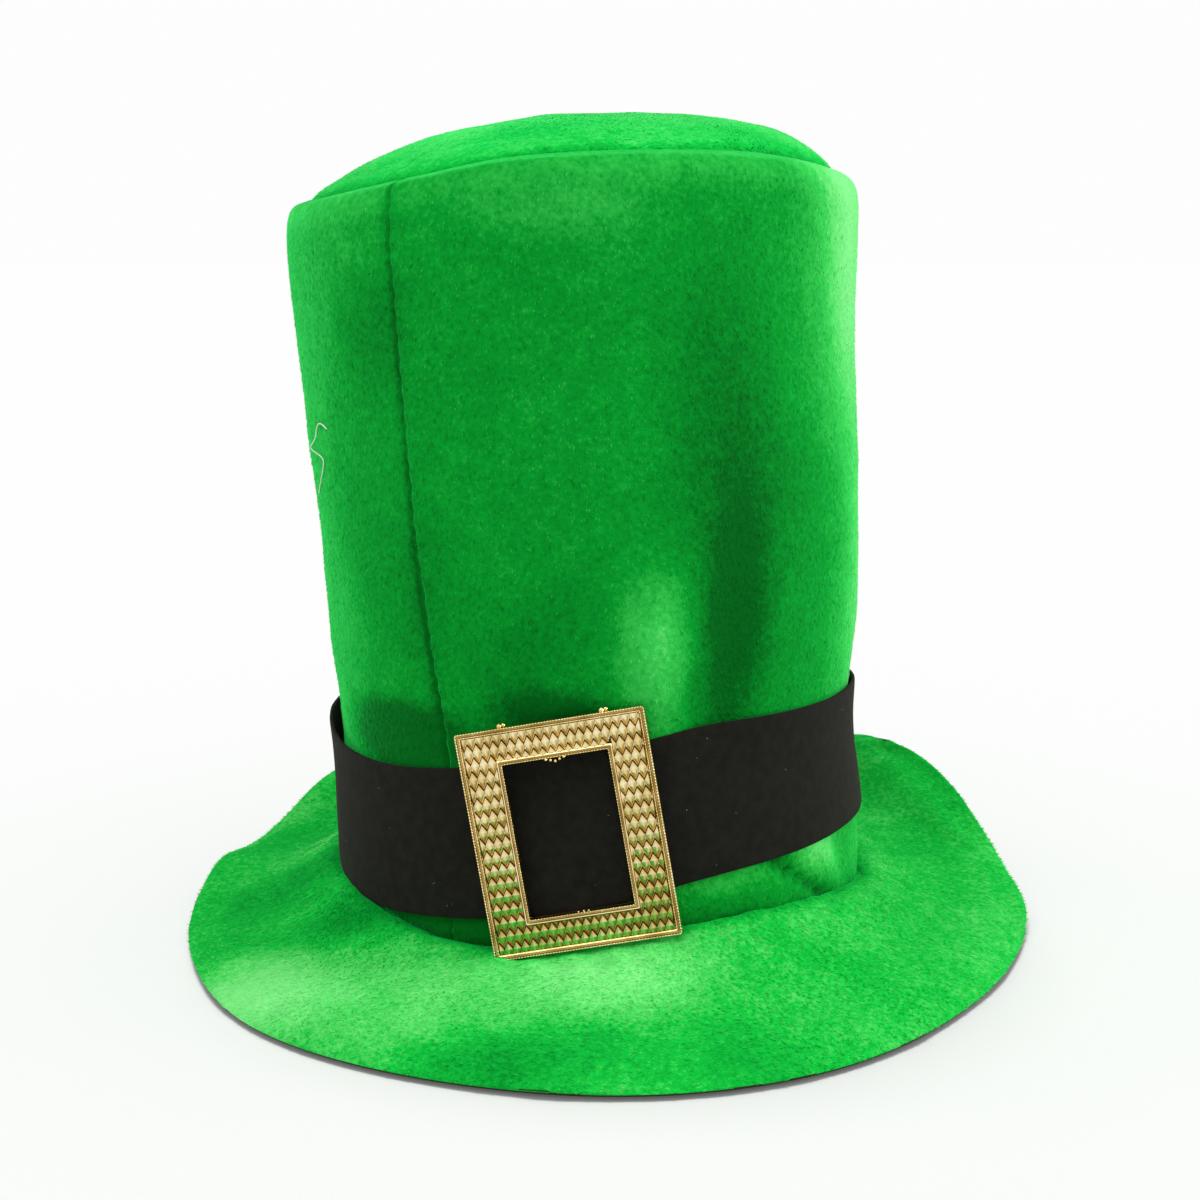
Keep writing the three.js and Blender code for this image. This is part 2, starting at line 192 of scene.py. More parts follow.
def paint_floor(floor, light):
    paint = bpy.data.materials.new("floor_white")
    paint.use_nodes = True
    shader = paint.node_tree.nodes["Principled BSDF"]
    fill(shader, {"Base Color": (FLOOR_WHITE, FLOOR_WHITE, FLOOR_WHITE, 1), "Roughness": 1.0,
                  "Specular IOR Level": 0.0, "Emission Color": (1, 1, 1, 1),
                  "Emission Strength": FLOOR_SEEN - FLOOR_WHITE * light})
    floor.data.materials.append(paint)


def lit_group(name, state):
    group = bpy.data.collections.new(name)
    group.objects.link(FLOOR)
    group.collection_objects[0].light_linking.link_state = state
    return group


def add_sun(name, azimuth, height, disc, strength, lights):
    data = bpy.data.lights.new(name, "SUN")
    data.angle = math.radians(disc)
    data.energy = strength
    sun = bpy.data.objects.new(name, data)
    turn, rise = math.radians(azimuth), math.radians(height)
    towards = Vector((math.sin(turn) * math.cos(rise), -math.cos(turn) * math.cos(rise), math.sin(rise)))
    sun.rotation_euler = towards.to_track_quat("Z", "Y").to_euler()
    bpy.context.scene.collection.objects.link(sun)
    sun.light_linking.receiver_collection = LIT[lights]
    return strength * math.sin(rise) / math.pi if lights == "floor" else 0.0


make_world()
FLOOR = make_floor()
LIT = {"floor": lit_group("only_the_floor", "INCLUDE"), "hat": lit_group("all_but_the_floor", "EXCLUDE")}
LIGHT_ON_FLOOR = WORLD_LIGHT + sum(add_sun(*sun) for sun in SUNS)
paint_floor(FLOOR, LIGHT_ON_FLOOR)
bpy.context.scene.view_settings.view_transform = "Standard"
print("light on the floor", round(LIGHT_ON_FLOOR, 3), "of which the world", WORLD_LIGHT)

# %% [markdown]
# Velvet changes its tone with the way its pile lies, so one green is never enough. A stroked patch is pale,
# a patch brushed the other way is deep, and the pile clumps into a fine mottle a millimetre or two across.
# Three shader groups make this: `soft_spot` marks one named patch, `velvet_nap` mixes the three greens by
# broad patches, fine mottle and a level that also carries painted shade and painted highlights, with a
# fourth, palest green where painted highlights lift that level highest, and `fine_fibre` gives the small
# relief that felt shares with velvet.

# %% The shader groups of the cloth
def make_soft_spot():
    tree, given, out = new_group(
        "soft_spot", "ShaderNodeTree",
        [("Centre", "Vector", (0, 0, 0)), ("Reach", "Vector", (0.05, 0.05, 0.05)),
         ("Strength", "Float", 1.0)],
        [("Mask", "Float")],
    )
    here = put(tree, "ShaderNodeTexCoord").outputs["Object"]
    away = vector_calc(tree, "SUBTRACT", here, given["Centre"])
    share = vector_calc(tree, "LENGTH", vector_calc(tree, "DIVIDE", away, given["Reach"]))
    fade = ranged(tree, share, 1.0, 0.0, interpolation_type="SMOOTHERSTEP")
    fill(out, {"Mask": calc(tree, "MULTIPLY", fade, given["Strength"])})
    return tree


def make_velvet_nap():
    tree, given, out = new_group(
        "velvet_nap", "ShaderNodeTree",
        [
            ("Deep", "Color", (0, 0.1, 0.01, 1)), ("Full", "Color", (0, 0.3, 0.03, 1)),
            ("Pale", "Color", (0.1, 0.6, 0.1, 1)), ("Bloom", "Color", (0.27, 0.86, 0.28, 1)),
            ("Patch Size", "Float", 0.06), ("Patch Depth", "Float", 0.4), ("Mottle Size", "Float", 0.0022),
            ("Mottle Depth", "Float", 0.35), ("Spots", "Float", 0.0), ("Tone", "Float", 0.5),
        ],
        [("Color", "Color"), ("Height", "Float"), ("Level", "Float")],
    )
    here = put(tree, "ShaderNodeTexCoord").outputs["Object"]

    def cloud(size, detail, roughness=0.5):
        scale = calc(tree, "DIVIDE", 1.0, size)
        inputs = {"Vector": here, "Scale": scale, "Detail": detail, "Roughness": roughness}
        return put(tree, "ShaderNodeTexNoise", inputs).outputs["Fac"]

    patch = calc(tree, "SUBTRACT", cloud(given["Patch Size"], 2.0), 0.5)
    mottle = calc(tree, "SUBTRACT", cloud(given["Mottle Size"], 3.0, 0.65), 0.5)
    streak = calc(tree, "SUBTRACT", cloud(calc(tree, "MULTIPLY", given["Mottle Size"], 4.0), 2.0, 0.6), 0.5)
    level = calc(tree, "MULTIPLY_ADD", patch, given["Patch Depth"], given["Tone"])
    level = calc(tree, "MULTIPLY_ADD", mottle, given["Mottle Depth"], level)
    level = calc(tree, "MULTIPLY_ADD", streak, calc(tree, "MULTIPLY", given["Mottle Depth"], 0.5), level)
    level = calc(tree, "ADD", level, given["Spots"])
    dark = mixed(tree, ranged(tree, level, 0.0, 0.5), given["Deep"], given["Full"])
    light = mixed(tree, ranged(tree, level, 0.5, 1.0), dark, given["Pale"])
    # the palest green, reached where the painted edge sheen and painted highlights lift the level
    bloom = mixed(tree, ranged(tree, level, 0.95, 1.5), light, given["Bloom"])
    fill(out, {"Color": bloom, "Height": mottle, "Level": level})
    return tree


def make_fine_fibre():
    tree, given, out = new_group(
        "fine_fibre", "ShaderNodeTree",
        [("Size", "Float", 0.0006), ("Stretch", "Vector", (1, 1, 1))],
        [("Height", "Float"), ("Fleck", "Float")],
    )
    here = put(tree, "ShaderNodeTexCoord").outputs["Object"]
    turned = vector_calc(tree, "MULTIPLY", here, given["Stretch"])
    scale = calc(tree, "DIVIDE", 1.0, given["Size"])
    fibre = put(tree, "ShaderNodeTexNoise",
                {"Vector": turned, "Scale": scale, "Detail": 3.0, "Roughness": 0.7})
    coarse = put(tree, "ShaderNodeTexNoise", {"Vector": here, "Scale": calc(tree, "MULTIPLY", scale, 0.13)})
    fleck = ranged(tree, coarse.outputs["Fac"], 0.35, 0.7)
    fill(out, {"Height": fibre.outputs["Fac"], "Fleck": fleck})
    return tree


SOFT_SPOT = make_soft_spot()
VELVET_NAP = make_velvet_nap()
FINE_FIBRE = make_fine_fibre()
print("cloth groups:", SOFT_SPOT.name, VELVET_NAP.name, FINE_FIBRE.name)

# %% [markdown]
# Each velvet material stands in the same group with its own greens and its own named patches. The pile
# scatters light at a grazing angle, which is what the sheen of the Principled shader does, so its weight is
# high and its tint is green. On top of that the colour is painted paler where the cloth turns away: a
# painted edge sheen.

# %% Velvet materials
def new_material(name):
    paint = bpy.data.materials.new(name)
    paint.use_nodes = True
    tree = paint.node_tree
    return paint, tree, tree.nodes["Principled BSDF"]


SHADE_DEPTH = 0.4
MOTTLE = 0.0019


def velvet(name, greens, spots=(), tone=0.5, patch=(0.06, 0.4), mottle=0.55, edge=0.5, tufts=0.0):
    paint, tree, shader = new_material(name)
    # painted edge sheen: the colour is made paler where the cloth turns away from view
    turned_away = put(tree, "ShaderNodeLayerWeight", {"Blend": 0.5})
    painted_edge_sheen = put(tree, "ShaderNodeMapRange", {"Value": turned_away.outputs["Facing"], "From Min": edge,
                                            "From Max": 1.0, "To Max": 0.45})
    total = painted_edge_sheen.outputs["Result"]
    # the named patches: nap, painted shade and painted highlights
    for centre, reach, strength in spots:
        spot = placed(tree, SOFT_SPOT, {"Centre": centre, "Reach": reach, "Strength": strength})
        total = calc(tree, "ADD", spot.outputs["Mask"], total)
    shade = put(tree, "ShaderNodeAttribute", attribute_name="shade").outputs["Fac"]
    total = calc(tree, "MULTIPLY_ADD", shade, -SHADE_DEPTH, total)
    if tufts:
        own = put(tree, "ShaderNodeAttribute", attribute_name="tone").outputs["Fac"]
        tone = calc(tree, "MULTIPLY_ADD", own, tufts, tone - tufts / 2)
    inputs = {"Deep": greens[0], "Full": greens[1], "Pale": greens[2], "Patch Size": patch[0],
              "Patch Depth": patch[1], "Mottle Size": MOTTLE, "Mottle Depth": mottle, "Tone": tone,
              "Spots": total}
    nap = placed(tree, VELVET_NAP, inputs)
    fill(shader, {"Base Color": nap.outputs["Color"], "Roughness": 0.9, "Specular IOR Level": 0.05,
                  "Sheen Weight": 0.8, "Sheen Roughness": 0.35, "Sheen Tint": (0.02, 1.0, 0.18, 1)})
    if tufts:
        cloth_side = put(tree, "ShaderNodeAttribute", attribute_name="pile_normal").outputs["Vector"]
        own_side = put(tree, "ShaderNodeNewGeometry").outputs["True Normal"]
        facing = vector_calc(tree, "NORMALIZE", vector_calc(tree, "ADD", cloth_side, own_side))
        fill(turned_away, {"Normal": cloth_side})
    else:
        bump = {"Height": nap.outputs["Height"], "Distance": 0.0006, "Strength": 0.9}
        facing = put(tree, "ShaderNodeBump", bump).outputs["Normal"]
    fill(shader, {"Normal": facing})
    return paint


# The brim and the tip are the same velvet as the wall, but their greens are brighter and the tip's tone is
# set higher: painted light from above, on the pieces that face up.
WALL_GREENS = ((0.0, 0.11, 0.008, 1), (0.001, 0.31, 0.024, 1), (0.045, 0.60, 0.09, 1))
LIT_BRIM_GREENS = ((0.0, 0.24, 0.02, 1), (0.005, 0.50, 0.045, 1), (0.13, 0.74, 0.16, 1))
LIT_TIP_GREENS = ((0.0, 0.24, 0.02, 1), (0.003, 0.53, 0.05, 1), (0.09, 0.78, 0.15, 1))
# centre, reach and strength of each named patch, paler above zero and darker below it: some are nap
# stroked up or down, some are painted shade above and below the band and in folds, and some are painted
# highlights on the right edge, the lip and fold ridges
WALL_NAP_AND_LIGHT_SPOTS = (
    ((0.096, -0.04, 0.26), (0.052, 0.09, 0.13), 0.95),
    ((0.05, -0.065, 0.15), (0.032, 0.06, 0.11), -0.2),
    ((0.096, -0.02, 0.13), (0.034, 0.06, 0.09), 0.4),
    ((-0.074, -0.067, 0.228), (0.025, 0.03, 0.045), -0.3),
    ((0.035, -0.09, 0.19), (0.035, 0.05, 0.10), -0.3),
    ((-0.01, -0.10, 0.125), (0.06, 0.04, 0.035), -0.15),
    ((0.011, -0.10, 0.124), (0.022, 0.04, 0.04), 0.42),
    ((0.042, -0.09, 0.13), (0.022, 0.04, 0.06), -0.25),
    ((-0.075, -0.06, 0.25), (0.04, 0.05, 0.03), 0.2),
    ((-0.02, -0.09, 0.262), (0.06, 0.05, 0.016), 0.2),
    ((-0.06, -0.075, 0.14), (0.03, 0.04, 0.06), -0.15),
    ((-0.06, -0.08, 0.025), (0.045, 0.05, 0.035), -0.95),
    ((0.036, -0.085, 0.043), (0.03, 0.04, 0.014), 0.25),
    ((-0.079, -0.04, 0.161), (0.03, 0.05, 0.05), -0.2),
    ((-0.068, -0.062, 0.087), (0.045, 0.055, 0.02), -1.1),
    ((-0.018, -0.09, 0.1), (0.036, 0.04, 0.016), -0.55),
    ((0.068, -0.055, 0.044), (0.016, 0.03, 0.022), 0.5),
)
# the brim's patches: nap, with painted light on the front that faces up and painted shade in the hollow at
# the back and on the outer slope
BRIM_NAP_AND_LIGHT_SPOTS = (
    ((-0.06, -0.115, 0.01), (0.095, 0.045, 0.04), 0.4),
    ((-0.12, -0.095, 0.01), (0.055, 0.05, 0.04), 0.65),
    ((0.0, -0.108, 0.01), (0.058, 0.036, 0.04), 0.55),
    ((-0.12, -0.015, 0.02), (0.055, 0.042, 0.04), -0.4),
    ((-0.085, -0.06, 0.02), (0.05, 0.024, 0.04), -0.45),
    ((-0.03, -0.153, 0.005), (0.075, 0.03, 0.03), -0.28),
    ((0.05, -0.14, 0.01), (0.05, 0.04, 0.04), -0.2),
)
# edge: how far a surface must turn away before the painted edge sheen starts
TIP_MAKE = {"patch": (0.03, 0.5), "mottle": 0.8, "edge": 0.8}
BRIM_MAKE = {"patch": (0.05, 0.8), "mottle": 0.8, "edge": 0.85}
MATERIALS = {
    "crown": velvet("velvet_wall", WALL_GREENS, WALL_NAP_AND_LIGHT_SPOTS, tone=0.46, patch=(0.06, 0.25)),
    "tip": velvet("velvet_tip", LIT_TIP_GREENS, tone=0.58, **TIP_MAKE),
    "brim": velvet("velvet_brim", LIT_BRIM_GREENS, BRIM_NAP_AND_LIGHT_SPOTS, **BRIM_MAKE),
    "crown pile": velvet("pile_wall", WALL_GREENS, WALL_NAP_AND_LIGHT_SPOTS, tone=0.5, patch=(0.06, 0.25), tufts=0.4),
    "tip pile": velvet("pile_tip", LIT_TIP_GREENS, tone=0.6, tufts=0.5, **TIP_MAKE),
    "brim pile": velvet("pile_brim", LIT_BRIM_GREENS, BRIM_NAP_AND_LIGHT_SPOTS, tone=0.56, tufts=0.5, **BRIM_MAKE),
}


print("velvet materials:", [m.name for m in MATERIALS.values()])

# %% [markdown]
# Backing, felt and stray fibres are all plain fibre of two near tones, so one function makes them. Felt is
# pressed fibre: nearly black and quite matt, with the faintest warm sheen where it turns away. Its relief
# is a fine fibre noise. Under the brim the backing is painted near black, darker than inside the hat:
# a dark sheet for painted shade under the brim.

# %% Backing and felt
BACKING = {"Roughness": 0.95, "Specular IOR Level": 0.1}
FELT = {"Roughness": 0.92, "Specular IOR Level": 0.12, "Sheen Weight": 0.025, "Sheen Roughness": 0.4,
        "Sheen Tint": (1.0, 0.9, 0.75, 1)}
FELT_TONES = ((0.0062, 0.0056, 0.0042, 1), (0.0108, 0.0098, 0.0072, 1))


def two_tones(colour, share):
    return [c * share for c in colour[:3]] + [1], colour


def fibre_material(name, size, tones, settings, relief=None):
    paint, tree, shader = new_material(name)
    fibre = placed(tree, FINE_FIBRE, {"Size": size})
    fill(shader, {"Base Color": mixed(tree, fibre.outputs["Fleck"], *tones), **settings})
    if relief:
        bump = {"Height": fibre.outputs["Height"], "Distance": relief[0], "Strength": relief[1]}
        fill(shader, {"Normal": put(tree, "ShaderNodeBump", bump).outputs["Normal"]})
    return paint


# the dark backing under the brim is painted shade
for use, name, colour in (("back", "backing_green", (0.02, 0.16, 0.04, 1)),
                          ("under", "underside_painted_shade", (0.03, 0.045, 0.018, 1))):
    MATERIALS[use] = fibre_material(name, 0.0008, two_tones(colour, 0.75), BACKING, (0.0004, 0.6))
MATERIALS["felt"] = fibre_material("felt_black", 0.0005, FELT_TONES, FELT, (0.0003, 0.7))
print("backing and felt:", [MATERIALS[use].name for use in ("back", "under", "felt")])

# %% [markdown]
# The soft solids of the CAD model are loose triangles with few columns. A copy is merged, its triangles are
# joined in pairs again, and Catmull-Clark rounds it, with the cut edges of the cloth creased so that they
# stay square. `refine` then splits only the faces near a seam, where finer folds need more points.

# %% Mesh helpers
CUT_EDGE_ANGLE = math.radians(62)
ROUNDING = 2


def link(name, mesh):
    obj = bpy.data.objects.new(name, mesh)
    bpy.context.scene.collection.objects.link(obj)
    return obj


def count_triangles(mesh):
    return sum(len(face.vertices) - 2 for face in mesh.polygons)


def evaluated_mesh(obj):
    depsgraph = bpy.context.evaluated_depsgraph_get()
    return bpy.data.meshes.new_from_object(obj.evaluated_get(depsgraph), depsgraph=depsgraph)


def apply_modifiers(obj):
    mesh = evaluated_mesh(obj)
    old = obj.data
    obj.modifiers.clear()
    obj.data = mesh
    bpy.data.meshes.remove(old)
    return obj


def edit(mesh, change):
    build = bmesh.new()
    build.from_mesh(mesh)
    change(build)
    build.to_mesh(mesh)
    build.free()
    return mesh


def paint_all(obj, paint):
    obj.data.materials.clear()
    obj.data.materials.append(paint)


def rounded_copy(node, name):
    build = bmesh.new()
    build.from_mesh(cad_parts[node].data)
    bmesh.ops.remove_doubles(build, verts=build.verts, dist=2e-6)
    bmesh.ops.join_triangles(build, faces=build.faces, angle_face_threshold=0.9, angle_shape_threshold=1.2)
    crease = build.edges.layers.float.new("crease_edge")
    for edge in build.edges:
        if len(edge.link_faces) == 2 and edge.calc_face_angle() > CUT_EDGE_ANGLE:
            edge[crease] = 1.0
    mesh = bpy.data.meshes.new(name)
    build.to_mesh(mesh)
    build.free()
    obj = link(name, mesh)
    smooth = obj.modifiers.new("round", "SUBSURF")
    smooth.levels = smooth.render_levels = ROUNDING
    apply_modifiers(obj)
    for face in obj.data.polygons:
        face.use_smooth = True
    return obj


def refine(obj, near):
    def split(build):
        edges = [e for e in build.edges if near((e.verts[0].co + e.verts[1].co) / 2)]
        bmesh.ops.subdivide_edges(build, edges=edges, cuts=1, use_grid_fill=True)

    edit(obj.data, split)


def sculpt(obj, move):
    normals = [n.vector.copy() for n in obj.data.vertex_normals]
    for vertex, normal in zip(obj.data.vertices, normals):
        vertex.co += move(vertex.co, normal)
    obj.data.update()


def tree_of(obj):
    return BVHTree.FromObject(obj, bpy.context.evaluated_depsgraph_get())


print("CAD triangles:", {n: count_triangles(o.data) for n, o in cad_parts.items()})

# %% [markdown]
# Places on the hat are easiest to name by an angle from the front and a height, about the crown's axis.
# The axis leans, so its middle is read at two heights, from the felt band's box and the tip's box.

# %% Name places on the hat
def box_middle(node):
    low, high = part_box(node)
    return (low + high) / 2


AXIS_LOW = box_middle("hat_band")
AXIS_HIGH = box_middle("crown_tip")
SEAM_ANGLE = -32.0
SEAM_DRIFT = -2.8
CROWN_HEIGHT = 0.274


def smoothstep(value, low, high):
    share = min(1.0, max(0.0, (value - low) / (high - low)))
    return share * share * (3 - 2 * share)


def axis_at(z):
    share = (z - AXIS_LOW.z) / (AXIS_HIGH.z - AXIS_LOW.z)
    return AXIS_LOW.lerp(AXIS_HIGH, share)


def polar(place):
    middle = axis_at(place.z)
    x, y = place.x - middle.x, place.y - middle.y
    return math.degrees(math.atan2(x, -y)), math.hypot(x, y)


def outwards_at(place):
    middle = axis_at(place.z)
    return Vector((place.x - middle.x, place.y - middle.y, 0)).normalized()


def seam_angle_at(z):
    return SEAM_ANGLE + SEAM_DRIFT * smoothstep(z / CROWN_HEIGHT, 0.28, 0.58)


def turned(angle):
    return (angle + 180) % 360 - 180


def bell(value, width):
    return math.exp(-(value / width) ** 2)


def ripple(place, size, seed=0.0):
    return noise.noise(Vector((place.x + seed, place.y - seed, place.z + 2 * seed)) / size)


print("crown axis from", [round(v, 4) for v in AXIS_LOW], "to", [round(v, 4) for v in AXIS_HIGH])

# %% [markdown]
# The crown's wall is one strip of velvet on foam. Its upright seam is sewn from inside, so the cloth dives
# into a narrow stitched groove and puckers on both sides of it. The same happens at the top, where the wall
# is sewn to the tip. These are vertex moves along the normal, worked out from the distance to each seam.

# %% Dress the crown's wall
WALL_SEAM_DEPTH = 0.5 * MM
WALL_SEAM_HALF = 1.0 * MM
PUCKER_PITCH = 7 * MM
PUCKER_DEPTH = 0.3 * MM
SOFT_WAVE = 0.7 * MM
TIP_SEAM_DIP = 1.0 * MM
TIP_SEAM_REACH = 2.2 * MM
LIP_RISE = 0.5 * MM
# folds of the foam: angle, height, half width in degrees, half height, how far it moves out in mm, and
# how many degrees it slants for each millimetre of height
FOLDS = (
    (28.0, 0.112, 6.0, 0.050, -2.6, 0.06), (15.5, 0.122, 6.0, 0.026, 1.8, 0.08),
    (20.5, 0.104, 1.6, 0.012, -1.0, 0.0), (44.5, 0.039, 2.0, 0.017, -3.9, -0.85),
    (55.0, 0.041, 4.5, 0.014, 2.2, -0.4), (38.0, 0.030, 5.0, 0.008, 0.9, 0.0),
    (-14.0, 0.112, 10.0, 0.018, -1.0, 0.0), (-4.0, 0.110, 4.0, 0.012, 0.7, 0.3),
)
FOLD_SHADE = 0.32


def seam_distance(place):
    angle, radius = polar(place)
    wander = 0.35 * MM * noise.noise(Vector((0, 0, place.z / 0.012)))
    return math.radians(turned(angle - seam_angle_at(place.z))) * radius + wander


def fold_at(angle, z):
    total = 0.0
    for middle, height, wide, tall, rise, slant in FOLDS:
        away = turned(angle - middle - slant * (z - height) / MM)
        total += rise * MM * bell(away, wide) * bell(z - height, tall)
    return total


def read_around(obj, pick, measure, steps=90):
    found = [None] * steps
    for vertex in obj.data.vertices:
        step = int((polar(vertex.co)[0] + 180) / 360 * steps) % steps
        value = measure(vertex.co)
        found[step] = value if found[step] is None else pick(found[step], value)

    def value_at(angle):
        place = (turned(angle) + 180) / 360 * steps - 0.5
        low = math.floor(place)
        share = place - low
        return found[low % steps] * (1 - share) + found[(low + 1) % steps] * share

    return value_at


def mark_shade(obj, shade_at):
    attribute = obj.data.attributes.new("shade", "FLOAT", "POINT")
    for vertex, value in zip(obj.data.vertices, attribute.data):
        value.value = shade_at(vertex.co)


def dress_wall():
    wall = rounded_copy("crown_side", "crown_velvet")
    top_at = read_around(wall, max, lambda p: p.z)
    foot_at = read_around(wall, min, lambda p: p.z)
    refine(wall, lambda p: abs(seam_distance(p)) < 7 * MM)
    refine(wall, lambda p: abs(seam_distance(p)) < 3.5 * MM or top_at(polar(p)[0]) - p.z < 7 * MM)

    def move(place, normal):
        outwards = outwards_at(place)
        angle = polar(place)[0]
        below_top = top_at(angle) - place.z
        above_foot = place.z - foot_at(angle)
        dip = Vector((0, 0, -TIP_SEAM_DIP * bell(below_top, TIP_SEAM_REACH)))
        if normal.dot(outwards) < 0.2 and normal.z < 0.3:
            return dip
        across = seam_distance(place)
        stitch = math.sin(2 * math.pi * place.z / PUCKER_PITCH + 3 * ripple(place, 0.02))
        pucker = PUCKER_DEPTH * stitch * bell(across, 6 * MM)
        groove = WALL_SEAM_DEPTH * bell(across, WALL_SEAM_HALF) - 0.5 * MM * bell(across - 4 * MM, 2.5 * MM)
        groove *= smoothstep(place.z, 0.05, 0.07)
        wave = SOFT_WAVE * ripple(place, 0.045) + 0.35 * MM * ripple(place, 0.016, 1.0)
        free = smoothstep(above_foot, 0, 12 * MM)
        lip = LIP_RISE * bell(below_top - 5 * MM, 4 * MM)
        lip += 0.12 * MM * math.sin(angle * 1.9) * bell(below_top, 8 * MM)
        fold = fold_at(angle, place.z)
        return outwards * (wave * free + lip + fold - groove + pucker) + dip

    sculpt(wall, move)

    # the shade number: painted shade along the seams, under the top seam, at the foot and in fold valleys,
    # and below zero painted highlight on the lip and on fold ridges
    def shade_at(place):
        angle = polar(place)[0]
        below_top = top_at(angle) - place.z
        at_top = 0.4 * bell(below_top, 1.2 * MM) - 0.45 * bell(below_top - 6 * MM, 6 * MM)
        at_foot = 0.7 * bell(place.z - foot_at(angle), 9 * MM)
        folded = FOLD_SHADE * fold_at(angle, place.z) / MM
        across = seam_distance(place)
        at_seam = 0.6 * bell(across, 1.4 * MM) + 0.3 * bell(across, 4 * MM)
        at_seam *= smoothstep(place.z, 0.05, 0.07)
        return min(1.0, at_seam + at_top + at_foot) - folded

    mark_shade(wall, shade_at)
    return wall


wall = dress_wall()
print("crown wall:", count_triangles(wall.data), "triangles")

# %% [markdown]
# The tip is a disc of the same velvet, domed by the foam under it. Its rim is turned down into the seam.

# %% Dress the tip
TIP_RIM_DIP = 2.8 * MM
TIP_RIM_REACH = 2.2 * MM
TIP_RIM_TUCK = 1.3 * MM


def dress_tip():
    tip = rounded_copy("crown_tip", "tip_velvet")
    rim_at = read_around(tip, max, lambda p: polar(p)[1])

    def inwards_of(place):
        angle, radius = polar(place)
        return rim_at(angle) - radius

    def move(place, normal):
        inwards = inwards_of(place)
        in_seam = bell(inwards, TIP_RIM_REACH)
        tucked = outwards_at(place) * (TIP_RIM_TUCK * in_seam) - Vector((0, 0, TIP_RIM_DIP * in_seam))
        if normal.z < 0.2:
            return tucked
        wave = 0.9 * MM * ripple(place, 0.03, 2.0) + 0.4 * MM * ripple(place, 0.012, 3.0)
        return tucked + Vector((0, 0, wave * smoothstep(inwards, 0, 6 * MM)))

    refine(tip, lambda p: inwards_of(p) < 9 * MM)
    sculpt(tip, move)
    mark_shade(tip, lambda p: 1.4 * bell(inwards_of(p) + TIP_RIM_TUCK, 3.2 * MM))
    return tip


tip = dress_tip()
print("tip:", count_triangles(tip.data), "triangles")

# %% [markdown]
# The brim is padded: two rounds of velvet with foam between, sewn together at the edge and to the crown.
# Cloth simulation gives it the swell of real padding. The rounded copy has even faces already, so it needs
# no remesh: its inner edge and the underside that rests on the table are pinned, and air pressure blows
# the rest up for a few frames. How far a point may move is capped, so the brim keeps its outline.

# %% Dress the brim
BRIM_PRESSURE = 4.0
BRIM_FRAMES = 20
BRIM_CAP = 2.2 * MM
BRIM_REST = 2.5 * MM
FOOT_ROLL = 1.6 * MM
BUCKLE_HOLLOW = 2.6 * MM
FOOT_RADIUS = 96 * MM


def foot_distance(place):
    return polar(place)[1] - FOOT_RADIUS


def simulate_padding(obj, pinned, pressure, frames, cap):
    before = [v.co.copy() for v in obj.data.vertices]
    group = obj.vertex_groups.new(name="pinned")
    group.add([v.index for v in obj.data.vertices if pinned(v.co)], 1.0, "REPLACE")
    cloth = obj.modifiers.new("padding", "CLOTH")
    cloth.settings.use_pressure = True
    cloth.settings.uniform_pressure_force = pressure
    cloth.settings.vertex_group_mass = "pinned"
    cloth.settings.effector_weights.gravity = 0
    cloth.settings.quality = 5
    cloth.settings.mass = 0.3
    cloth.point_cache.frame_start = 1
    cloth.point_cache.frame_end = frames
    for step in range(1, frames + 1):
        bpy.context.scene.frame_set(step)
    apply_modifiers(obj)
    bpy.context.scene.frame_set(1)
    obj.vertex_groups.clear()
    furthest = 0.0
    for vertex, start in zip(obj.data.vertices, before):
        moved = vertex.co - start
        furthest = max(furthest, moved.length)
        if moved.length > 0:
            vertex.co = start + moved * (cap * math.tanh(moved.length / cap) / moved.length)
    return furthest


def dress_brim():
    brim = rounded_copy("brim", "brim_velvet")
    inner = min(polar(v.co)[1] for v in brim.data.vertices)
    buckle_angle = polar(box_middle("buckle"))[0]

    def pinned(place):
        return place.z < BRIM_REST or polar(place)[1] < inner + 4 * MM

    furthest = simulate_padding(brim, pinned, BRIM_PRESSURE, BRIM_FRAMES, BRIM_CAP)
    print("padding moved at most", round(furthest * 1000, 1), "mm, capped near", BRIM_CAP * 1000)
    refine(brim, lambda p: foot_distance(p) < 30 * MM)

    def move(place, normal):
        if normal.z < 0.1:
            return Vector()
        beyond_foot = foot_distance(place)
        free = smoothstep(beyond_foot, 1 * MM, 12 * MM)
        angle = polar(place)[0]
        pucker = math.sin(46 * math.radians(angle) + 4 * ripple(place, 0.03))
        pucker *= bell(beyond_foot - 10 * MM, 9 * MM)
        wave = 1.0 * MM * ripple(place, 0.04, 4.0) + 0.4 * MM * ripple(place, 0.015, 5.0)
        by_buckle = bell(turned(angle - buckle_angle), 18.0)
        roll = FOOT_ROLL * (1 - by_buckle) - BUCKLE_HOLLOW * by_buckle
        roll *= bell(beyond_foot - 6 * MM, 7 * MM)
        return normal * (wave * free + 0.45 * MM * pucker + roll)

    sculpt(brim, move)
    mark_shade(brim, lambda p: bell(foot_distance(p), 4 * MM))
    return brim


brim = dress_brim()
print("brim:", count_triangles(brim.data), "triangles")

# %% [markdown]
# The band is a flat strip of felt, cut with a clean edge. It only needs rounding and a little unevenness.
# Behind the buckle its upper edge is pushed up, so that no green shows in the buckle's window, and at the
# hat's right it sinks a little, as in the photograph.

# %% Dress the band
BAND_PUSHED_UP = 2.6 * MM
BAND_SINKS = 4.0 * MM


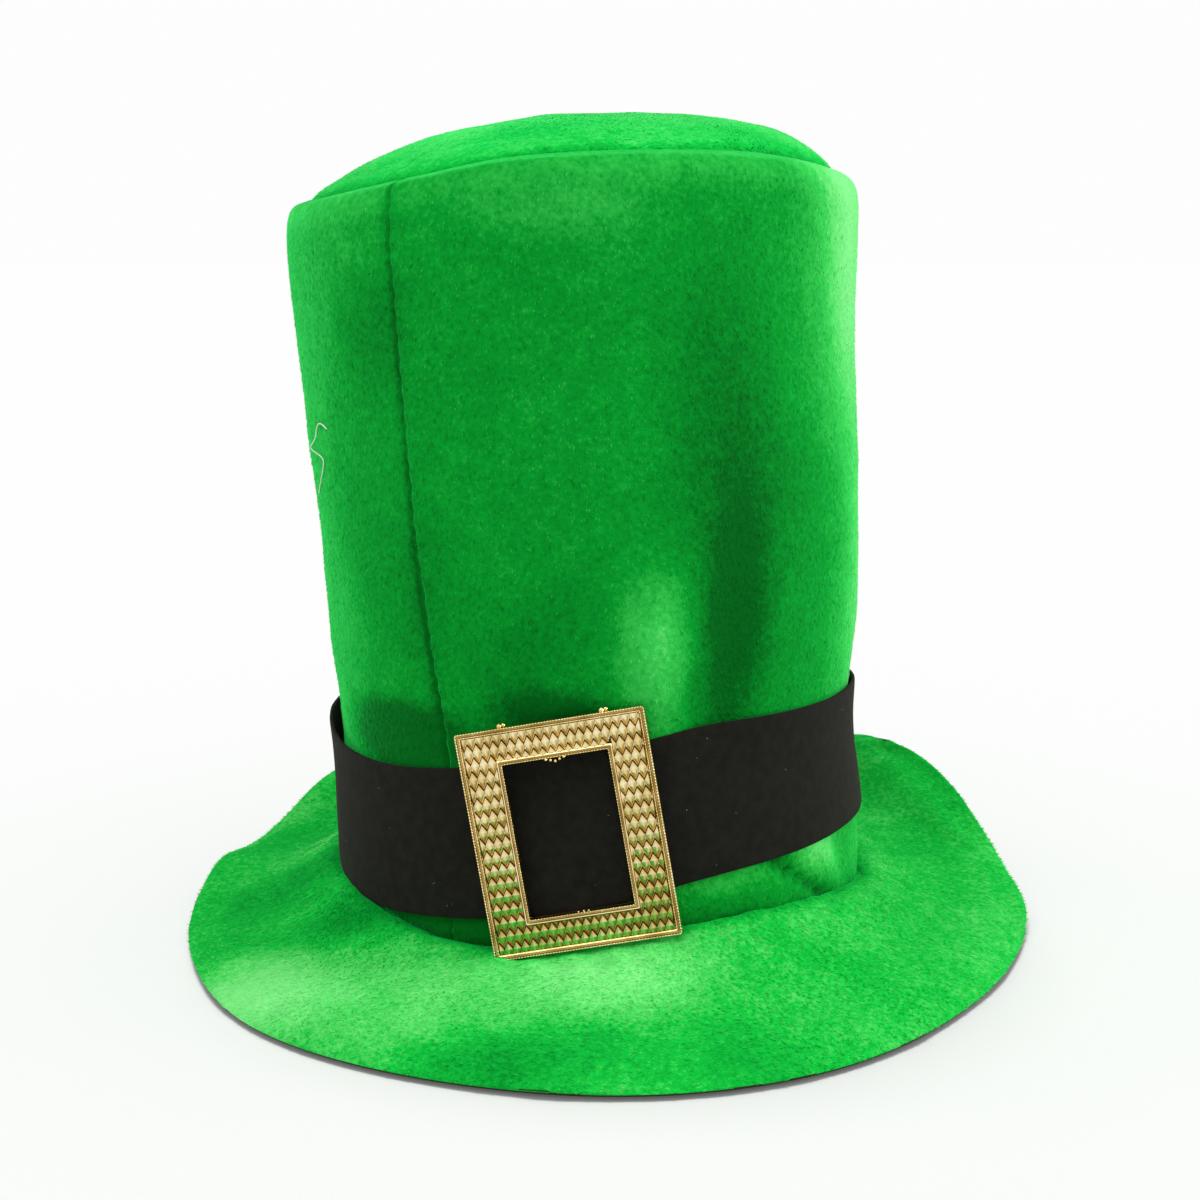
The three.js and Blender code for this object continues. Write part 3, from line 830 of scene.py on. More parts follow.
def dress_band():
    band = rounded_copy("hat_band", "band_felt")
    behind = polar(box_middle("buckle"))[0]

    def move(place, normal):
        outwards = outwards_at(place)
        angle = polar(place)[0]
        near = bell(turned(angle - behind), 8.5)
        sinks = smoothstep(angle, 5, 70) * smoothstep(-angle, -150, -100)
        upper = smoothstep(place.z, 0.06, 0.085)
        up = Vector((0, 0, (BAND_PUSHED_UP * near - BAND_SINKS * sinks) * upper))
        if normal.dot(outwards) < 0.3:
            return up
        return up + outwards * (0.25 * MM * ripple(place, 0.03, 6.0) + 0.1 * MM * ripple(place, 0.008, 7.0))

    sculpt(band, move)
    return band


band = dress_band()
print("band:", count_triangles(band.data), "triangles")

# %% [markdown]
# Each velvet piece has two materials: the velvet outside, and the plain backing inside. Under the brim
# the second one is the darker backing, painted shade.
# The felt is the same on both sides. A rule for each piece says which of its faces are the backing.

# %% Give the cloth its materials
def two_sides(obj, outside, inside, is_inside):
    paint_all(obj, outside)
    obj.data.materials.append(inside)
    for face in obj.data.polygons:
        face.material_index = 1 if is_inside(face.center, face.normal) else 0


wall_top_at = read_around(wall, max, lambda p: p.z)


def inside_wall(centre, normal):
    below_seam = wall_top_at(polar(centre)[0]) - centre.z > 5 * MM
    return below_seam and normal.dot(outwards_at(centre)) < -0.2 and normal.z < 0.5 or normal.z < -0.8


def under_brim(centre, normal):
    by_foot = foot_distance(centre) < 4 * MM
    return normal.z < -0.4 or by_foot and normal.dot(outwards_at(centre)) < -0.7


TIP_INSIDE = 68 * MM
two_sides(wall, MATERIALS["crown"], MATERIALS["back"], inside_wall)
two_sides(tip, MATERIALS["tip"], MATERIALS["back"], lambda c, n: n.z < 0 and polar(c)[1] < TIP_INSIDE)
# the brim's underside wears the dark backing: painted shade
two_sides(brim, MATERIALS["brim"], MATERIALS["under"], under_brim)
paint_all(band, MATERIALS["felt"])
print("inside faces of the wall:", sum(f.material_index for f in wall.data.polygons))

# %% [markdown]
# The pile is what makes velvet velvet: short fibres that stand in tufts and lean the way they were stroked.
# Geometry Nodes grow one closed three-sided tuft on each of many thousand random points of the outer faces.
# A tuft is flattened like a thin roof with its ridge outwards, so that both its slopes catch the light.
# The tree reads two things from the cloth's mesh: whether pile grows on a face, and which way it lies there.
# It writes two on each tuft: a tone of its own, and the way the cloth under it faces, a little scattered.
# The material lights a tuft by that direction, so the pile shimmers softly and doesn't look like bristles.

# %% The geometry nodes of the pile
NORMAL_SCATTER = 0.15


def finished(tree, instances, paint):
    real = put(tree, "GeometryNodeRealizeInstances", {"Geometry": instances})
    return put(tree, "GeometryNodeSetMaterial", {"Geometry": real.outputs[0], "Material": paint}).outputs[0]


def make_pile_tree():
    tree, given, out = new_group(
        "velvet_pile", "GeometryNodeTree",
        [("Cloth", "Geometry", None), ("Density", "Float", 200000.0), ("Length", "Float", 0.0013),
         ("Width", "Float", 0.0005), ("Lean", "Float", 1.0), ("Unruly", "Float", 0.35), ("Seed", "Int", 1),
         ("Flatness", "Float", 0.3), ("Pile", "Material", None)],
        [("Tufts", "Geometry")],
    )
    grows = put(tree, "GeometryNodeInputNamedAttribute", {"Name": "pile_grows"}, data_type="FLOAT")
    wanted = put(tree, "FunctionNodeCompare", {0: grows.outputs[0], 1: 0.5}, operation="GREATER_THAN")
    spread = {"Mesh": given["Cloth"], "Selection": wanted.outputs[0], "Density": given["Density"],
              "Seed": given["Seed"]}
    points, up = put(tree, "GeometryNodeDistributePointsOnFaces", spread).outputs[:2]
    nap = put(tree, "GeometryNodeInputNamedAttribute", {"Name": "nap"}, data_type="FLOAT_VECTOR")
    wild = put(tree, "FunctionNodeRandomValue", {0: (-1, -1, -1), 1: (1, 1, 1), "Seed": given["Seed"]},
               data_type="FLOAT_VECTOR").outputs[0]
    leaning = vector_calc(tree, "ADD", up, scaled(tree, nap.outputs[0], given["Lean"]))
    way = vector_calc(tree, "ADD", leaning, scaled(tree, wild, given["Unruly"]))
    aim = put(tree, "FunctionNodeAlignRotationToVector", {"Vector": way}, axis="Z").outputs[0]
    turn = put(tree, "FunctionNodeAlignRotationToVector", {"Rotation": aim, "Vector": up},
               axis="X", pivot_axis="Z").outputs[0]

    def random_number(low, high, step):
        inputs = {2: low, 3: high, "Seed": calc(tree, "ADD", given["Seed"], step)}
        return put(tree, "FunctionNodeRandomValue", inputs, data_type="FLOAT").outputs[1]

    def stored(geometry, name, value, kind):
        inputs = {"Geometry": geometry, "Name": name, "Value": value}
        return put(tree, "GeometryNodeStoreNamedAttribute", inputs, data_type=kind, domain="POINT").outputs[0]

    soft = vector_calc(tree, "NORMALIZE", vector_calc(tree, "ADD", up, scaled(tree, wild, NORMAL_SCATTER)))
    toned = stored(points, "tone", random_number(0.0, 1.0, 1.0), "FLOAT")
    aimed = stored(toned, "pile_normal", soft, "FLOAT_VECTOR")
    cone = {"Vertices": 3, "Radius Top": 0.0, "Radius Bottom": calc(tree, "MULTIPLY", given["Width"], 0.5),
            "Depth": given["Length"]}
    tuft = put(tree, "GeometryNodeMeshCone", cone, fill_type="NGON").outputs["Mesh"]
    size = random_number(0.6, 1.2, 2.0)
    thin = calc(tree, "MULTIPLY", size, given["Flatness"])
    flat = put(tree, "ShaderNodeCombineXYZ", {"X": thin, "Y": size, "Z": size}).outputs[0]
    grown = put(tree, "GeometryNodeInstanceOnPoints",
                {"Points": aimed, "Instance": tuft, "Rotation": turn, "Scale": flat})
    fill(out, {"Tufts": finished(tree, grown.outputs[0], given["Pile"])})
    return tree


def grown_by(tree, carrier, name, values):
    obj = link(name, carrier.data.copy())
    nodes = obj.modifiers.new(tree.name, "NODES")
    nodes.node_group = tree
    known = {item.name: item.identifier for item in tree.interface.items_tree if item.in_out == "INPUT"}
    for label, value in values.items():
        nodes[known[label]] = value
    return apply_modifiers(obj)


PILE_TREE = make_pile_tree()
print("inputs of the pile tree:", [i.name for i in PILE_TREE.interface.items_tree if i.in_out == "INPUT"])

# %% [markdown]
# Pile is left off where nothing can stand: inside the hat, under the brim where it rests, and behind the
# band and the buckle, which press it flat. A short ray from each face finds what covers it.

# %% Grow the pile
COVER_REACH = 6 * MM


def prepare_pile(obj, nap_at, grows_on, covers):
    trees = [tree_of(cover) for cover in covers]
    attribute = obj.data.attributes.new("pile_grows", "FLOAT", "FACE")
    for face, value in zip(obj.data.polygons, attribute.data):
        start = face.center + face.normal * 0.2 * MM
        pressed = any(tree.ray_cast(start, face.normal, COVER_REACH)[0] is not None for tree in trees)
        value.value = 1.0 if grows_on(face.center, face.normal) and not pressed else 0.0
    nap = obj.data.attributes.new("nap", "FLOAT_VECTOR", "POINT")
    for vertex, value in zip(obj.data.vertices, nap.data):
        value.vector = nap_at(vertex.co)


def sideways_at(place):
    outwards = outwards_at(place)
    return Vector((-outwards.y, outwards.x, 0))


def wall_nap(place):
    return (Vector((0, 0, -1)) + sideways_at(place) * 0.5 * ripple(place, 0.05, 8.0)).normalized()


def flat_nap(place):
    turn = 2.5 * ripple(place, 0.06, 9.0)
    return outwards_at(place) * math.cos(turn) + sideways_at(place) * math.sin(turn)


def face_area(obj, attribute):
    flags = obj.data.attributes[attribute].data
    return sum(face.area for face, flag in zip(obj.data.polygons, flags) if flag.value > 0.5)


def on_top(centre, normal):
    return normal.z > -0.15 and (normal.z > 0.3 or normal.dot(outwards_at(centre)) > 0)


covers = [band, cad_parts["buckle"]]
prepare_pile(wall, wall_nap, lambda c, n: n.dot(outwards_at(c)) > 0.2, covers)
prepare_pile(tip, flat_nap, lambda c, n: n.z > -0.3, [])
prepare_pile(brim, flat_nap, on_top, covers)
TUFT_WIDTH = 0.62 * MM
# cloth, name of the pile, its material, tufts, length in millimetres, lean and seed
PILES = (
    (wall, "crown_pile", "crown pile", 48000, 1.2, 5.0, 11),
    (tip, "tip_pile", "tip pile", 20000, 0.6, 14.0, 12),
    (brim, "brim_pile", "brim pile", 48000, 1.2, 8.0, 13),
)


def grow_pile(cloth, name, paint, tufts, length, lean, seed):
    area = face_area(cloth, "pile_grows")
    values = {"Density": tufts / area, "Length": length * MM, "Width": TUFT_WIDTH, "Lean": lean,
              "Unruly": 0.9, "Seed": seed, "Pile": MATERIALS[paint]}
    pile = grown_by(PILE_TREE, cloth, name, values)
    print(name, "on", round(area * 1e6), "square mm:", count_triangles(pile.data), "triangles")
    return pile


piles = [grow_pile(*pile) for pile in PILES]

# %% [markdown]
# The buckle is a thin casting, plated with bright gilt. Its face has a fine rope along each edge, a sunken
# channel, and rows of pointed scales that hang like tiles. Its frame is swept here as nested rounded
# rectangles, each at its own height, because every feature of the rim runs parallel to an edge. The place
# and tilt come from the CAD node: its vertices are turned back flat, and their extents give the middle.

# %% The buckle's own frame and its swept body
BUCKLE_TURN = (
    Matrix.Rotation(math.radians(-3), 4, "Z")
    @ Matrix.Rotation(math.radians(90 - 2), 4, "X")
    @ Matrix.Rotation(math.radians(8.6), 4, "Z")
)
BUCKLE_CORNER = 1.0 * MM
BUCKLE_BARS = (13.7 * MM, 12.0 * MM)
# which edge a step is measured from, how far in millimetres, its height, and how deep it lies in shade
RIM_PROFILE = (
    ("outer", 0.15, 0.0, 0.6), ("outer", 0.0, 0.3, 0.6), ("outer", 0.0, 2.3, 0.45), ("outer", 0.15, 2.6, 0.3),
    ("outer", 0.45, 2.6, 0.5), ("outer", 0.65, 2.1, 0.7),
    ("outer", 1.15, 2.0, 0.7), ("outer", 1.3, 2.4, 0.45),
    ("outer", 1.55, 2.5, 0.3), ("outer", 1.85, 2.2, 0.75), ("outer", 1.95, 1.0, 1.0),
    ("inner", 1.8, 1.0, 1.0), ("inner", 1.7, 2.2, 0.45), ("inner", 1.4, 2.6, 0.05), ("inner", 1.1, 2.5, 0.4),
    ("inner", 0.9, 2.1, 0.7), ("inner", 0.5, 2.0, 0.7), ("inner", 0.35, 2.3, 0.5), ("inner", 0.1, 2.3, 0.5),
    ("inner", 0.0, 2.0, 0.6), ("inner", 0.0, 0.3, 0.7), ("inner", -0.15, 0.0, 0.7),
)
# the buckle is glued on a touch lower, larger and more turned than its CAD node, as the photograph shows
BUCKLE_TRIM = (
    Matrix.Translation((0.4 * MM, -1.1 * MM, 0))
    @ Matrix.Rotation(math.radians(1.3), 4, "Z")
    @ Matrix.Diagonal((1.01, 1.03, 1, 1))
)


def buckle_place():
    back = BUCKLE_TURN.inverted()
    flat = [back @ v.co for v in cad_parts["buckle"].data.vertices]
    low = Vector(min(p[i] for p in flat) for i in range(3))
    high = Vector(max(p[i] for p in flat) for i in range(3))
    middle = Vector(((low.x + high.x) / 2, (low.y + high.y) / 2, low.z))
    return BUCKLE_TURN @ Matrix.Translation(middle) @ BUCKLE_TRIM, high - low


BUCKLE_FRAME, BUCKLE_SIZE = buckle_place()


def rounded_rectangle(half_width, half_height, radius, height, steps=4):
    points = []
    for corner, (sx, sy) in enumerate(((1, 1), (-1, 1), (-1, -1), (1, -1))):
        for step in range(steps):
            turn = math.radians(90 * corner + 90 * step / (steps - 1))
            x = sx * (half_width - radius) + radius * math.cos(turn)
            y = sy * (half_height - radius) + radius * math.sin(turn)
            points.append(Vector((x, y, height)))
    return points


def edge_size(edge, inset):
    half = (BUCKLE_SIZE.x / 2, BUCKLE_SIZE.y / 2)
    if edge == "outer":
        return half[0] - inset, half[1] - inset
    return half[0] - BUCKLE_BARS[0] + inset, half[1] - BUCKLE_BARS[1] + inset


def sweep_rims(build):
    groove = build.verts.layers.float.new("groove")
    loops = []
    for edge, inset, height, depth in RIM_PROFILE:
        radius = max(BUCKLE_CORNER - inset * MM if edge == "outer" else 0.4 * MM, 0.3 * MM)
        outline = rounded_rectangle(*edge_size(edge, inset * MM), radius, height * MM)
        loops.append([build.verts.new(point) for point in outline])
        for vertex in loops[-1]:
            vertex[groove] = depth
    for loop, following in zip(loops, loops[1:] + loops[:1]):
        for i in range(len(loop)):
            j = (i + 1) % len(loop)
            build.faces.new((loop[i], loop[j], following[j], following[i]))
    bmesh.ops.recalc_face_normals(build, faces=build.faces)


buckle_body = link("buckle_body", edit(bpy.data.meshes.new("buckle_body"), sweep_rims))
print("buckle measures", [round(v * 1000, 2) for v in BUCKLE_SIZE], "mm")

# %% [markdown]
# The relief is a field of pointed scales like long hexagons, laid as bricks are, with a dark groove along
# their points. Each has a ridge down its middle, and leans: its upper end stands out and its lower point
# sinks in. That lean is why the lower part of the real buckle mirrors the green brim. One scale is drawn
# from given points. Geometry Nodes lay it on a grid, shift every other row by half a pitch, and drop what
# falls in the window. A second tree strings slanted beads along a rounded rectangle: the fine rope of
# the rims.

# %% One scale of the relief
SCALE_PITCH = 2.8 * MM
SCALE_ROW_PITCH = 4.35 * MM
SCALE_POINT = 2.6 * MM
SCALE_GAP = 0.26 * MM
SCALE_LEAN = 0.16
SCALE_RIDGE = 0.45 * MM
SCALE_LIP = 0.42 * MM
# how dark each of the scale's corners is painted, painted shade above 0 and painted highlight below it:
# outline, ridge, inner corners and back
SCALE_SHADES = (0.4, 0.3, -0.3, -0.4, -0.1, 0.35, 0.1, 0.2, 0.6, 0.65, 0.7) + (1.0,) * 6


def mark_groove(mesh, shades):
    groove = mesh.attributes.new("groove", "FLOAT", "POINT")
    for value, shade in zip(groove.data, shades):
        value.value = shade


def draw_scale():
    w = SCALE_PITCH / 2
    side = (SCALE_ROW_PITCH - SCALE_POINT) / 2
    tip = side + SCALE_POINT
    outline = [(0, tip), (-w, side), (-w, -side), (0, -tip), (w, -side), (w, side)]
    shrunk = 1 - SCALE_GAP * 1.6 / tip
    narrow = 1 - 0.08 * MM / w
    points = [(x * narrow, y * shrunk, y * SCALE_LEAN) for x, y in outline]
    points += [(0, y * shrunk, y * SCALE_LEAN + SCALE_RIDGE) for y in (side, -side)]
    inner = [(-w + SCALE_LIP, -side * 0.6), (0, -tip + 2.2 * SCALE_LIP), (w - SCALE_LIP, -side * 0.6)]
    points += [(x, y, y * SCALE_LEAN + 0.1 * MM) for x, y in inner]
    points += [(x, y * (1 - SCALE_GAP / tip), -1.4 * MM) for x, y in outline]
    faces = [(0, 1, 6), (0, 6, 5), (1, 8, 7, 6), (1, 2, 8), (6, 7, 10, 5), (5, 10, 4), (8, 9, 7)]
    faces += [(7, 9, 10), (2, 3, 9, 8), (3, 4, 10, 9), (16, 15, 14, 13, 12, 11)]
    faces += [(i, 11 + i, 11 + (i + 1) % 6, (i + 1) % 6) for i in range(6)]
    mesh = bpy.data.meshes.new("scale")
    mesh.from_pydata(points, [], faces)
    edit(mesh, lambda build: bmesh.ops.recalc_face_normals(build, faces=build.faces))
    mark_groove(mesh, SCALE_SHADES)
    return link("scale", mesh)


scale = draw_scale()
print("one scale has", count_triangles(scale.data), "triangles")

# %% The geometry nodes of the scales and of the rope
def shifted(tree, geometry, offset):
    move = put(tree, "ShaderNodeCombineXYZ", offset).outputs[0]
    return put(tree, "GeometryNodeSetPosition", {"Geometry": geometry, "Offset": move}).outputs[0]


def make_scale_tree():
    tree, given, out = new_group(
        "scale_field", "GeometryNodeTree",
        [("Carrier", "Geometry", None), ("Scale", "Object", None), ("Pitch", "Float", 0.003),
         ("Row Pitch", "Float", 0.004), ("Columns", "Int", 20), ("Rows", "Int", 16),
         ("Field Width", "Float", 0.05), ("Window Width", "Float", 0.03), ("Window Height", "Float", 0.05),
         ("Level", "Float", 0.002)],
        [("Scales", "Geometry")],
    )
    across = calc(tree, "MULTIPLY", given["Pitch"], calc(tree, "SUBTRACT", given["Columns"], 1.0))
    down = calc(tree, "MULTIPLY", given["Row Pitch"], calc(tree, "SUBTRACT", given["Rows"], 1.0))
    grid = put(tree, "GeometryNodeMeshGrid",
               {"Size X": across, "Size Y": down, "Vertices X": given["Columns"],
                "Vertices Y": given["Rows"]})
    row = calc(tree, "MODULO", put(tree, "GeometryNodeInputIndex").outputs[0], given["Rows"])
    odd = calc(tree, "SUBTRACT", calc(tree, "MODULO", row, 2.0), 0.5)
    shift = calc(tree, "MULTIPLY", odd, calc(tree, "MULTIPLY", given["Pitch"], 0.5))
    moved = shifted(tree, grid.outputs["Mesh"], {"X": shift, "Z": given["Level"]})
    place = put(tree, "ShaderNodeSeparateXYZ", {0: put(tree, "GeometryNodeInputPosition").outputs[0]})
    side = calc(tree, "ABSOLUTE", place.outputs["X"])
    rise = calc(tree, "ABSOLUTE", place.outputs["Y"])
    outside = calc(tree, "GREATER_THAN", side, calc(tree, "MULTIPLY", given["Field Width"], 0.5))
    in_width = calc(tree, "LESS_THAN", side, calc(tree, "MULTIPLY", given["Window Width"], 0.5))
    in_height = calc(tree, "LESS_THAN", rise, calc(tree, "MULTIPLY", given["Window Height"], 0.5))
    dropped = calc(tree, "MAXIMUM", outside, calc(tree, "MULTIPLY", in_width, in_height))
    kept = put(tree, "GeometryNodeDeleteGeometry", {"Geometry": moved, "Selection": dropped}, domain="POINT")
    tile = put(tree, "GeometryNodeObjectInfo", {"Object": given["Scale"]}).outputs["Geometry"]
    laid = put(tree, "GeometryNodeInstanceOnPoints", {"Points": kept.outputs[0], "Instance": tile})
    fill(out, {"Scales": finished(tree, laid.outputs[0], MATERIALS["gilt"])})
    return tree


def make_rope_tree():
    tree, given, out = new_group(
        "bead_rope", "GeometryNodeTree",
        [("Carrier", "Geometry", None), ("Width", "Float", 0.06), ("Height", "Float", 0.07),
         ("Corner", "Float", 0.001), ("Pitch", "Float", 0.0008), ("Bead", "Float", 0.0004),
         ("Slant", "Float", 0.6), ("Level", "Float", 0.003), ("Shade", "Float", 0.0)],
        [("Rope", "Geometry")],
    )
    path = put(tree, "GeometryNodeCurvePrimitiveQuadrilateral",
               {"Width": given["Width"], "Height": given["Height"]})
    corners = {"Curve": path.outputs[0], "Radius": given["Corner"], "Count": 3, "Limit Radius": True}
    filleted = put(tree, "GeometryNodeFilletCurve", corners, mode="POLY")
    even = put(tree, "GeometryNodeResampleCurve", {"Curve": filleted.outputs[0], "Length": given["Pitch"]},
               mode="LENGTH")
    raised = shifted(tree, even.outputs[0], {"Z": given["Level"]})
    along = put(tree, "GeometryNodeInputTangent").outputs[0]
    turn = put(tree, "FunctionNodeAlignRotationToVector", {"Vector": along}, axis="X").outputs[0]
    slant = put(tree, "ShaderNodeCombineXYZ", {"Z": given["Slant"]}).outputs[0]
    slanted = put(tree, "FunctionNodeRotateRotation", {0: turn, 1: slant}, rotation_space="LOCAL").outputs[0]
    bead = put(tree, "GeometryNodeMeshUVSphere", {"Segments": 8, "Rings": 5, "Radius": given["Bead"]})
    strung = put(tree, "GeometryNodeInstanceOnPoints",
                 {"Points": raised, "Instance": bead.outputs["Mesh"], "Rotation": slanted,
                  "Scale": (1.0, 0.8, 0.9)})
    solid = finished(tree, strung.outputs[0], MATERIALS["gilt"])
    shaded = put(tree, "GeometryNodeStoreNamedAttribute",
                 {"Geometry": solid, "Name": "groove", "Value": given["Shade"]},
                 data_type="FLOAT", domain="POINT")
    smooth = put(tree, "GeometryNodeSetShadeSmooth", {"Geometry": shaded.outputs[0]})
    fill(out, {"Rope": smooth.outputs[0]})
    return tree


# %% [markdown]
# Gilt is a metal colour that is bright where it catches the white tent. Its colour is painted brown in
# grooves and on rims where shade collects, and pale on edges that catch the light: painted shade and
# painted highlight, with a fine random fleck of wear. Each vertex of the casting carries a number called
# groove, and the colour follows it.

# %% The gilt material
def gilt():
    paint, tree, shader = new_material("gilt_cast")
    groove = put(tree, "ShaderNodeAttribute", attribute_name="groove").outputs["Fac"]
    wear = placed(tree, FINE_FIBRE, {"Size": 0.0009})
    amount = calc(tree, "MULTIPLY_ADD", wear.outputs["Fleck"], 0.2, calc(tree, "SUBTRACT", groove, 0.08))
    ramp = put(tree, "ShaderNodeValToRGB", {"Fac": amount})
    shades = ((0.0, (1.0, 0.93, 0.62, 1)), (0.45, (0.64, 0.44, 0.14, 1)), (1.0, (0.07, 0.04, 0.01, 1)))
    ramp.color_ramp.elements.new(0.45)
    for element, (place, colour) in zip(ramp.color_ramp.elements, shades):
        element.position = place
        element.color = colour
    dull = put(tree, "ShaderNodeMapRange", {"Value": wear.outputs["Fleck"], "To Min": 0.16, "To Max": 0.3})
    fill(shader, {"Base Color": ramp.outputs["Color"], "Metallic": 1.0, "Roughness": dull.outputs["Result"]})
    return paint


MATERIALS["gilt"] = gilt()
SCALE_TREE = make_scale_tree()
ROPE_TREE = make_rope_tree()
print("trees:", SCALE_TREE.name, ROPE_TREE.name)

# %% Assemble the buckle
SCALE_ROWS = 17
SCALE_COLUMNS = 23
SCALE_CORNERS = 17
# how much darker the scales are painted towards the buckle's bottom
LOWER_DARKENING = 0.12
# how much darker the mould nubs are painted
NUB_DARKENING = 0.4
OUTER_RIM = 1.9 * MM
INNER_RIM = 1.75 * MM
ROPE_PITCH = 0.95 * MM
# the edge it runs along, its inset in millimetres, bead radius and level of each rope
ROPES = (("outer", 0.3, 0.36, 2.5), ("outer", 1.5, 0.3, 2.4), ("inner", 0.22, 0.3, 2.25))
# small lumps left by the mould: across and up from the buckle's middle, radius and level
NUBS = (
    (-16.0, 38.0, 0.9, 2.0), (-14.6, 38.2, 0.7, 1.8), (17.4, 38.0, 0.9, 2.0), (18.8, 38.2, 0.7, 1.8),
    (-3.0, 25.2, 0.5, 2.2), (-1.5, 24.8, 0.5, 2.2), (0.0, 24.3, 0.55, 2.1), (1.5, 24.8, 0.5, 2.2),
    (2.9, 25.3, 0.5, 2.2), (0.6, -25.2, 0.4, 2.2), (2.2, -25.2, 0.35, 2.2), (-1.2, -25.2, 0.35, 2.2),
)


def trim_scales(obj, outer, window):
    corners = obj.data.vertices
    for start in range(0, len(corners), SCALE_CORNERS):
        own = corners[start:start + SCALE_CORNERS]
        middle = sum((v.co for v in own), Vector()) / len(own)
        beyond = [abs(middle[axis]) - window[axis] for axis in (0, 1)]
        axis = 0 if beyond[0] > beyond[1] else 1
        for vertex in own:
            place = vertex.co
            if abs(place.x) < window[0] and abs(place.y) < window[1]:
                place[axis] = math.copysign(window[axis], middle[axis])
            place.x = max(-outer[0], min(outer[0], place.x))
            place.y = max(-outer[1], min(outer[1], place.y))
    edit(obj.data, lambda build: bmesh.ops.dissolve_degenerate(build, edges=build.edges, dist=0.03 * MM))
    return obj


def lay_scales(carrier):
    outer = edge_size("outer", OUTER_RIM)
    window = edge_size("inner", INNER_RIM)
    values = {"Scale": scale, "Pitch": SCALE_PITCH, "Row Pitch": SCALE_ROW_PITCH, "Columns": SCALE_COLUMNS,
              "Rows": SCALE_ROWS, "Field Width": 2 * outer[0] + SCALE_PITCH * 0.8,
              "Window Width": 2 * window[0] - SCALE_PITCH * 0.8,
              "Window Height": 2 * window[1] - SCALE_ROW_PITCH * 1.1, "Level": 1.95 * MM}
    scales = trim_scales(grown_by(SCALE_TREE, carrier, "scales", values), outer, window)
    for vertex, groove in zip(scales.data.vertices, scales.data.attributes["groove"].data):
        groove.value += LOWER_DARKENING * smoothstep(-vertex.co.y, 0, 24 * MM)
    return scales


def string_rope(carrier, edge, inset, bead, level):
    half_width, half_height = edge_size(edge, inset * MM)
    values = {"Width": 2 * half_width, "Height": 2 * half_height, "Corner": 0.6 * MM, "Pitch": ROPE_PITCH,
              "Bead": bead * MM, "Slant": 0.6, "Level": level * MM, "Shade": 0.3}
    return grown_by(ROPE_TREE, carrier, "rope", values)


def add_nub(x, y, radius, level):
    def cast(build):
        bmesh.ops.create_icosphere(build, subdivisions=2, radius=radius * MM)
        bmesh.ops.translate(build, verts=build.verts, vec=(x * MM, y * MM, level * MM))

    mesh = edit(bpy.data.meshes.new("nub"), cast)
    mark_groove(mesh, [NUB_DARKENING] * len(mesh.vertices))
    return link("nub", mesh)


def joined(name, parts):
    with bpy.context.temp_override(active_object=parts[0], selected_editable_objects=parts):
        bpy.ops.object.join()
    parts[0].name = name
    parts[0].data.name = name
    return parts[0]


def assemble_buckle():
    carrier = link("carrier", bpy.data.meshes.new("carrier"))
    parts = [buckle_body, lay_scales(carrier)]
    parts += [string_rope(carrier, *rope) for rope in ROPES]
    parts += [add_nub(*nub) for nub in NUBS]
    buckle = joined("buckle_casting", parts)
    buckle.data.transform(BUCKLE_FRAME)
    paint_all(buckle, MATERIALS["gilt"])
    for helper in (carrier, scale):
        bpy.data.objects.remove(helper)
    return buckle


buckle = assemble_buckle()
print("buckle:", count_triangles(buckle.data), "triangles")

# %% [markdown]
# A hair of white thread was left on the crown's wall, and a little lint on the felt. The thread's path was
# read off the photograph: each point is a pixel, and a ray from the camera through it finds the cloth.

# %% Lay the loose thread
PHOTO_SIZE = 1200
THREAD_THICKNESS = 0.45 * MM
THREAD_STAND_OFF = 0.6 * MM
THREAD_PIXELS = (
    (328.4, 428.8), (324.9, 424.6), (320.5, 421.8), (318.2, 426.7), (317.9, 435.0), (316.0, 441.0),
    (311.5, 446.5), (313.7, 450.0), (319.5, 453.5), (324.9, 458.2), (325.6, 463.2), (324.5, 471.0),
    (322.3, 481.0), (320.7, 492.6),
)


def pixel_ray(x, y):
    reach = PHOTO_SIZE * CAMERA_LENS / SENSOR_WIDTH
    half = PHOTO_SIZE / 2
    way = Vector(((x - half) / reach, (half - y) / reach, -1)).normalized()
    return camera.matrix_world.to_3x3() @ way


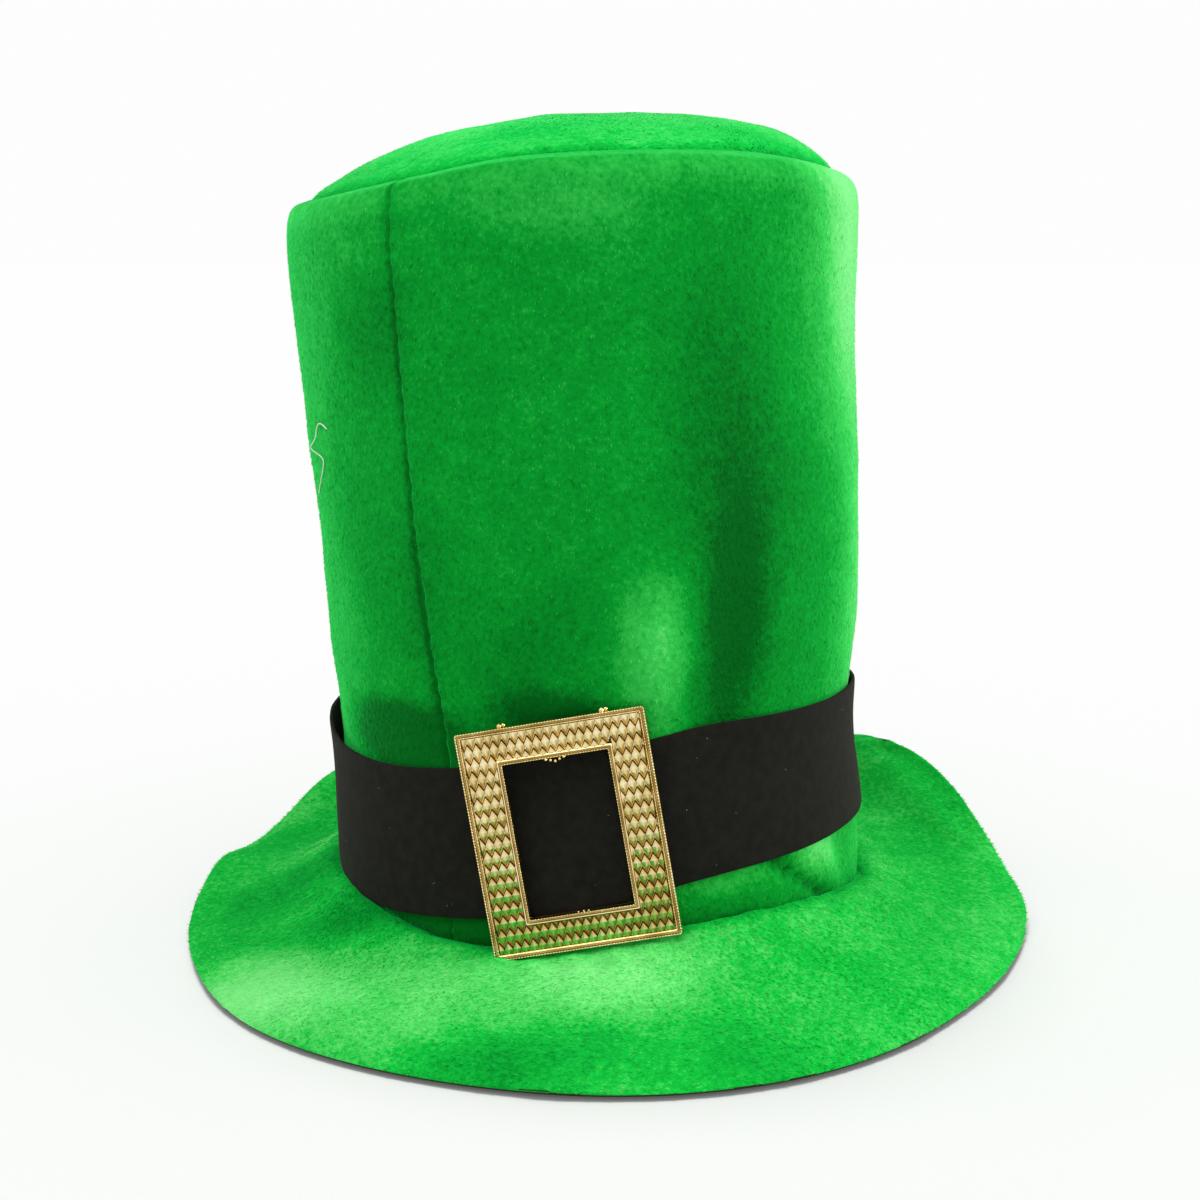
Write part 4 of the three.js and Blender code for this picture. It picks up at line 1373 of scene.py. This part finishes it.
def lay_thread():
    bpy.context.view_layer.update()
    cloth = tree_of(wall)
    eye = Vector(CAMERA_PLACE)
    points = []
    depth = None
    for x, y in THREAD_PIXELS:
        way = pixel_ray(x, y)
        hit, normal, _, distance = cloth.ray_cast(eye, way)
        if hit is not None:
            depth = distance
            points.append(hit + normal * THREAD_STAND_OFF)
        elif depth is not None:
            points.append(eye + way * depth)
    curve = bpy.data.curves.new("loose_thread", "CURVE")
    curve.dimensions = "3D"
    curve.bevel_depth = THREAD_THICKNESS / 2
    curve.bevel_resolution = 1
    curve.resolution_u = 6
    curve.use_fill_caps = True
    spline = curve.splines.new("NURBS")
    spline.points.add(len(points) - 1)
    for point, place in zip(spline.points, points):
        point.co = (*place, 1)
    spline.order_u = 4
    spline.use_endpoint_u = True
    thread = link("loose_thread", curve)
    mesh = evaluated_mesh(thread)
    bpy.data.objects.remove(thread)
    return link("loose_thread", mesh)


STRAY = {"Roughness": 0.8}
STRAY_SIZE = 0.0004
thread = lay_thread()
paint_all(thread, fibre_material("thread_white", STRAY_SIZE, two_tones((0.72, 0.9, 0.72, 1), 0.8), STRAY))
print("thread:", count_triangles(thread.data), "triangles")

# %% Scatter lint on the felt
LINT_COUNT = 70
MATERIALS["lint"] = fibre_material("lint_grey", STRAY_SIZE, two_tones((0.3, 0.3, 0.27, 1), 0.8), STRAY)
prepare_pile(band, wall_nap, lambda c, n: n.dot(outwards_at(c)) > 0.5, [buckle])
LINT_VALUES = {"Density": LINT_COUNT / face_area(band, "pile_grows"), "Length": 0.9 * MM,
               "Width": 0.16 * MM, "Lean": 2.5, "Unruly": 3.0, "Seed": 21, "Pile": MATERIALS["lint"]}
lint = grown_by(PILE_TREE, band, "band_lint", LINT_VALUES)
print("lint:", count_triangles(lint.data) // 4, "hairs")

# %% [markdown]
# Last, each piece is attached to the root body, and the CAD node that it stands for, where there is one,
# is hidden.


def hand_over(obj, slot, *nodes):
    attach(obj, "root")
    if nodes:
        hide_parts(*nodes)


hand_over(wall, "velvet", "crown_side")
hand_over(tip, "velvet_tip", "crown_tip")
hand_over(brim, "velvet_brim", "brim")
hand_over(band, "felt", "hat_band")
hand_over(buckle, "gilt", "buckle")
hand_over(thread, "velvet")
hand_over(lint, "felt")
for pile, slot in zip(piles, ("velvet", "velvet_tip", "velvet_brim")):
    hand_over(pile, slot)
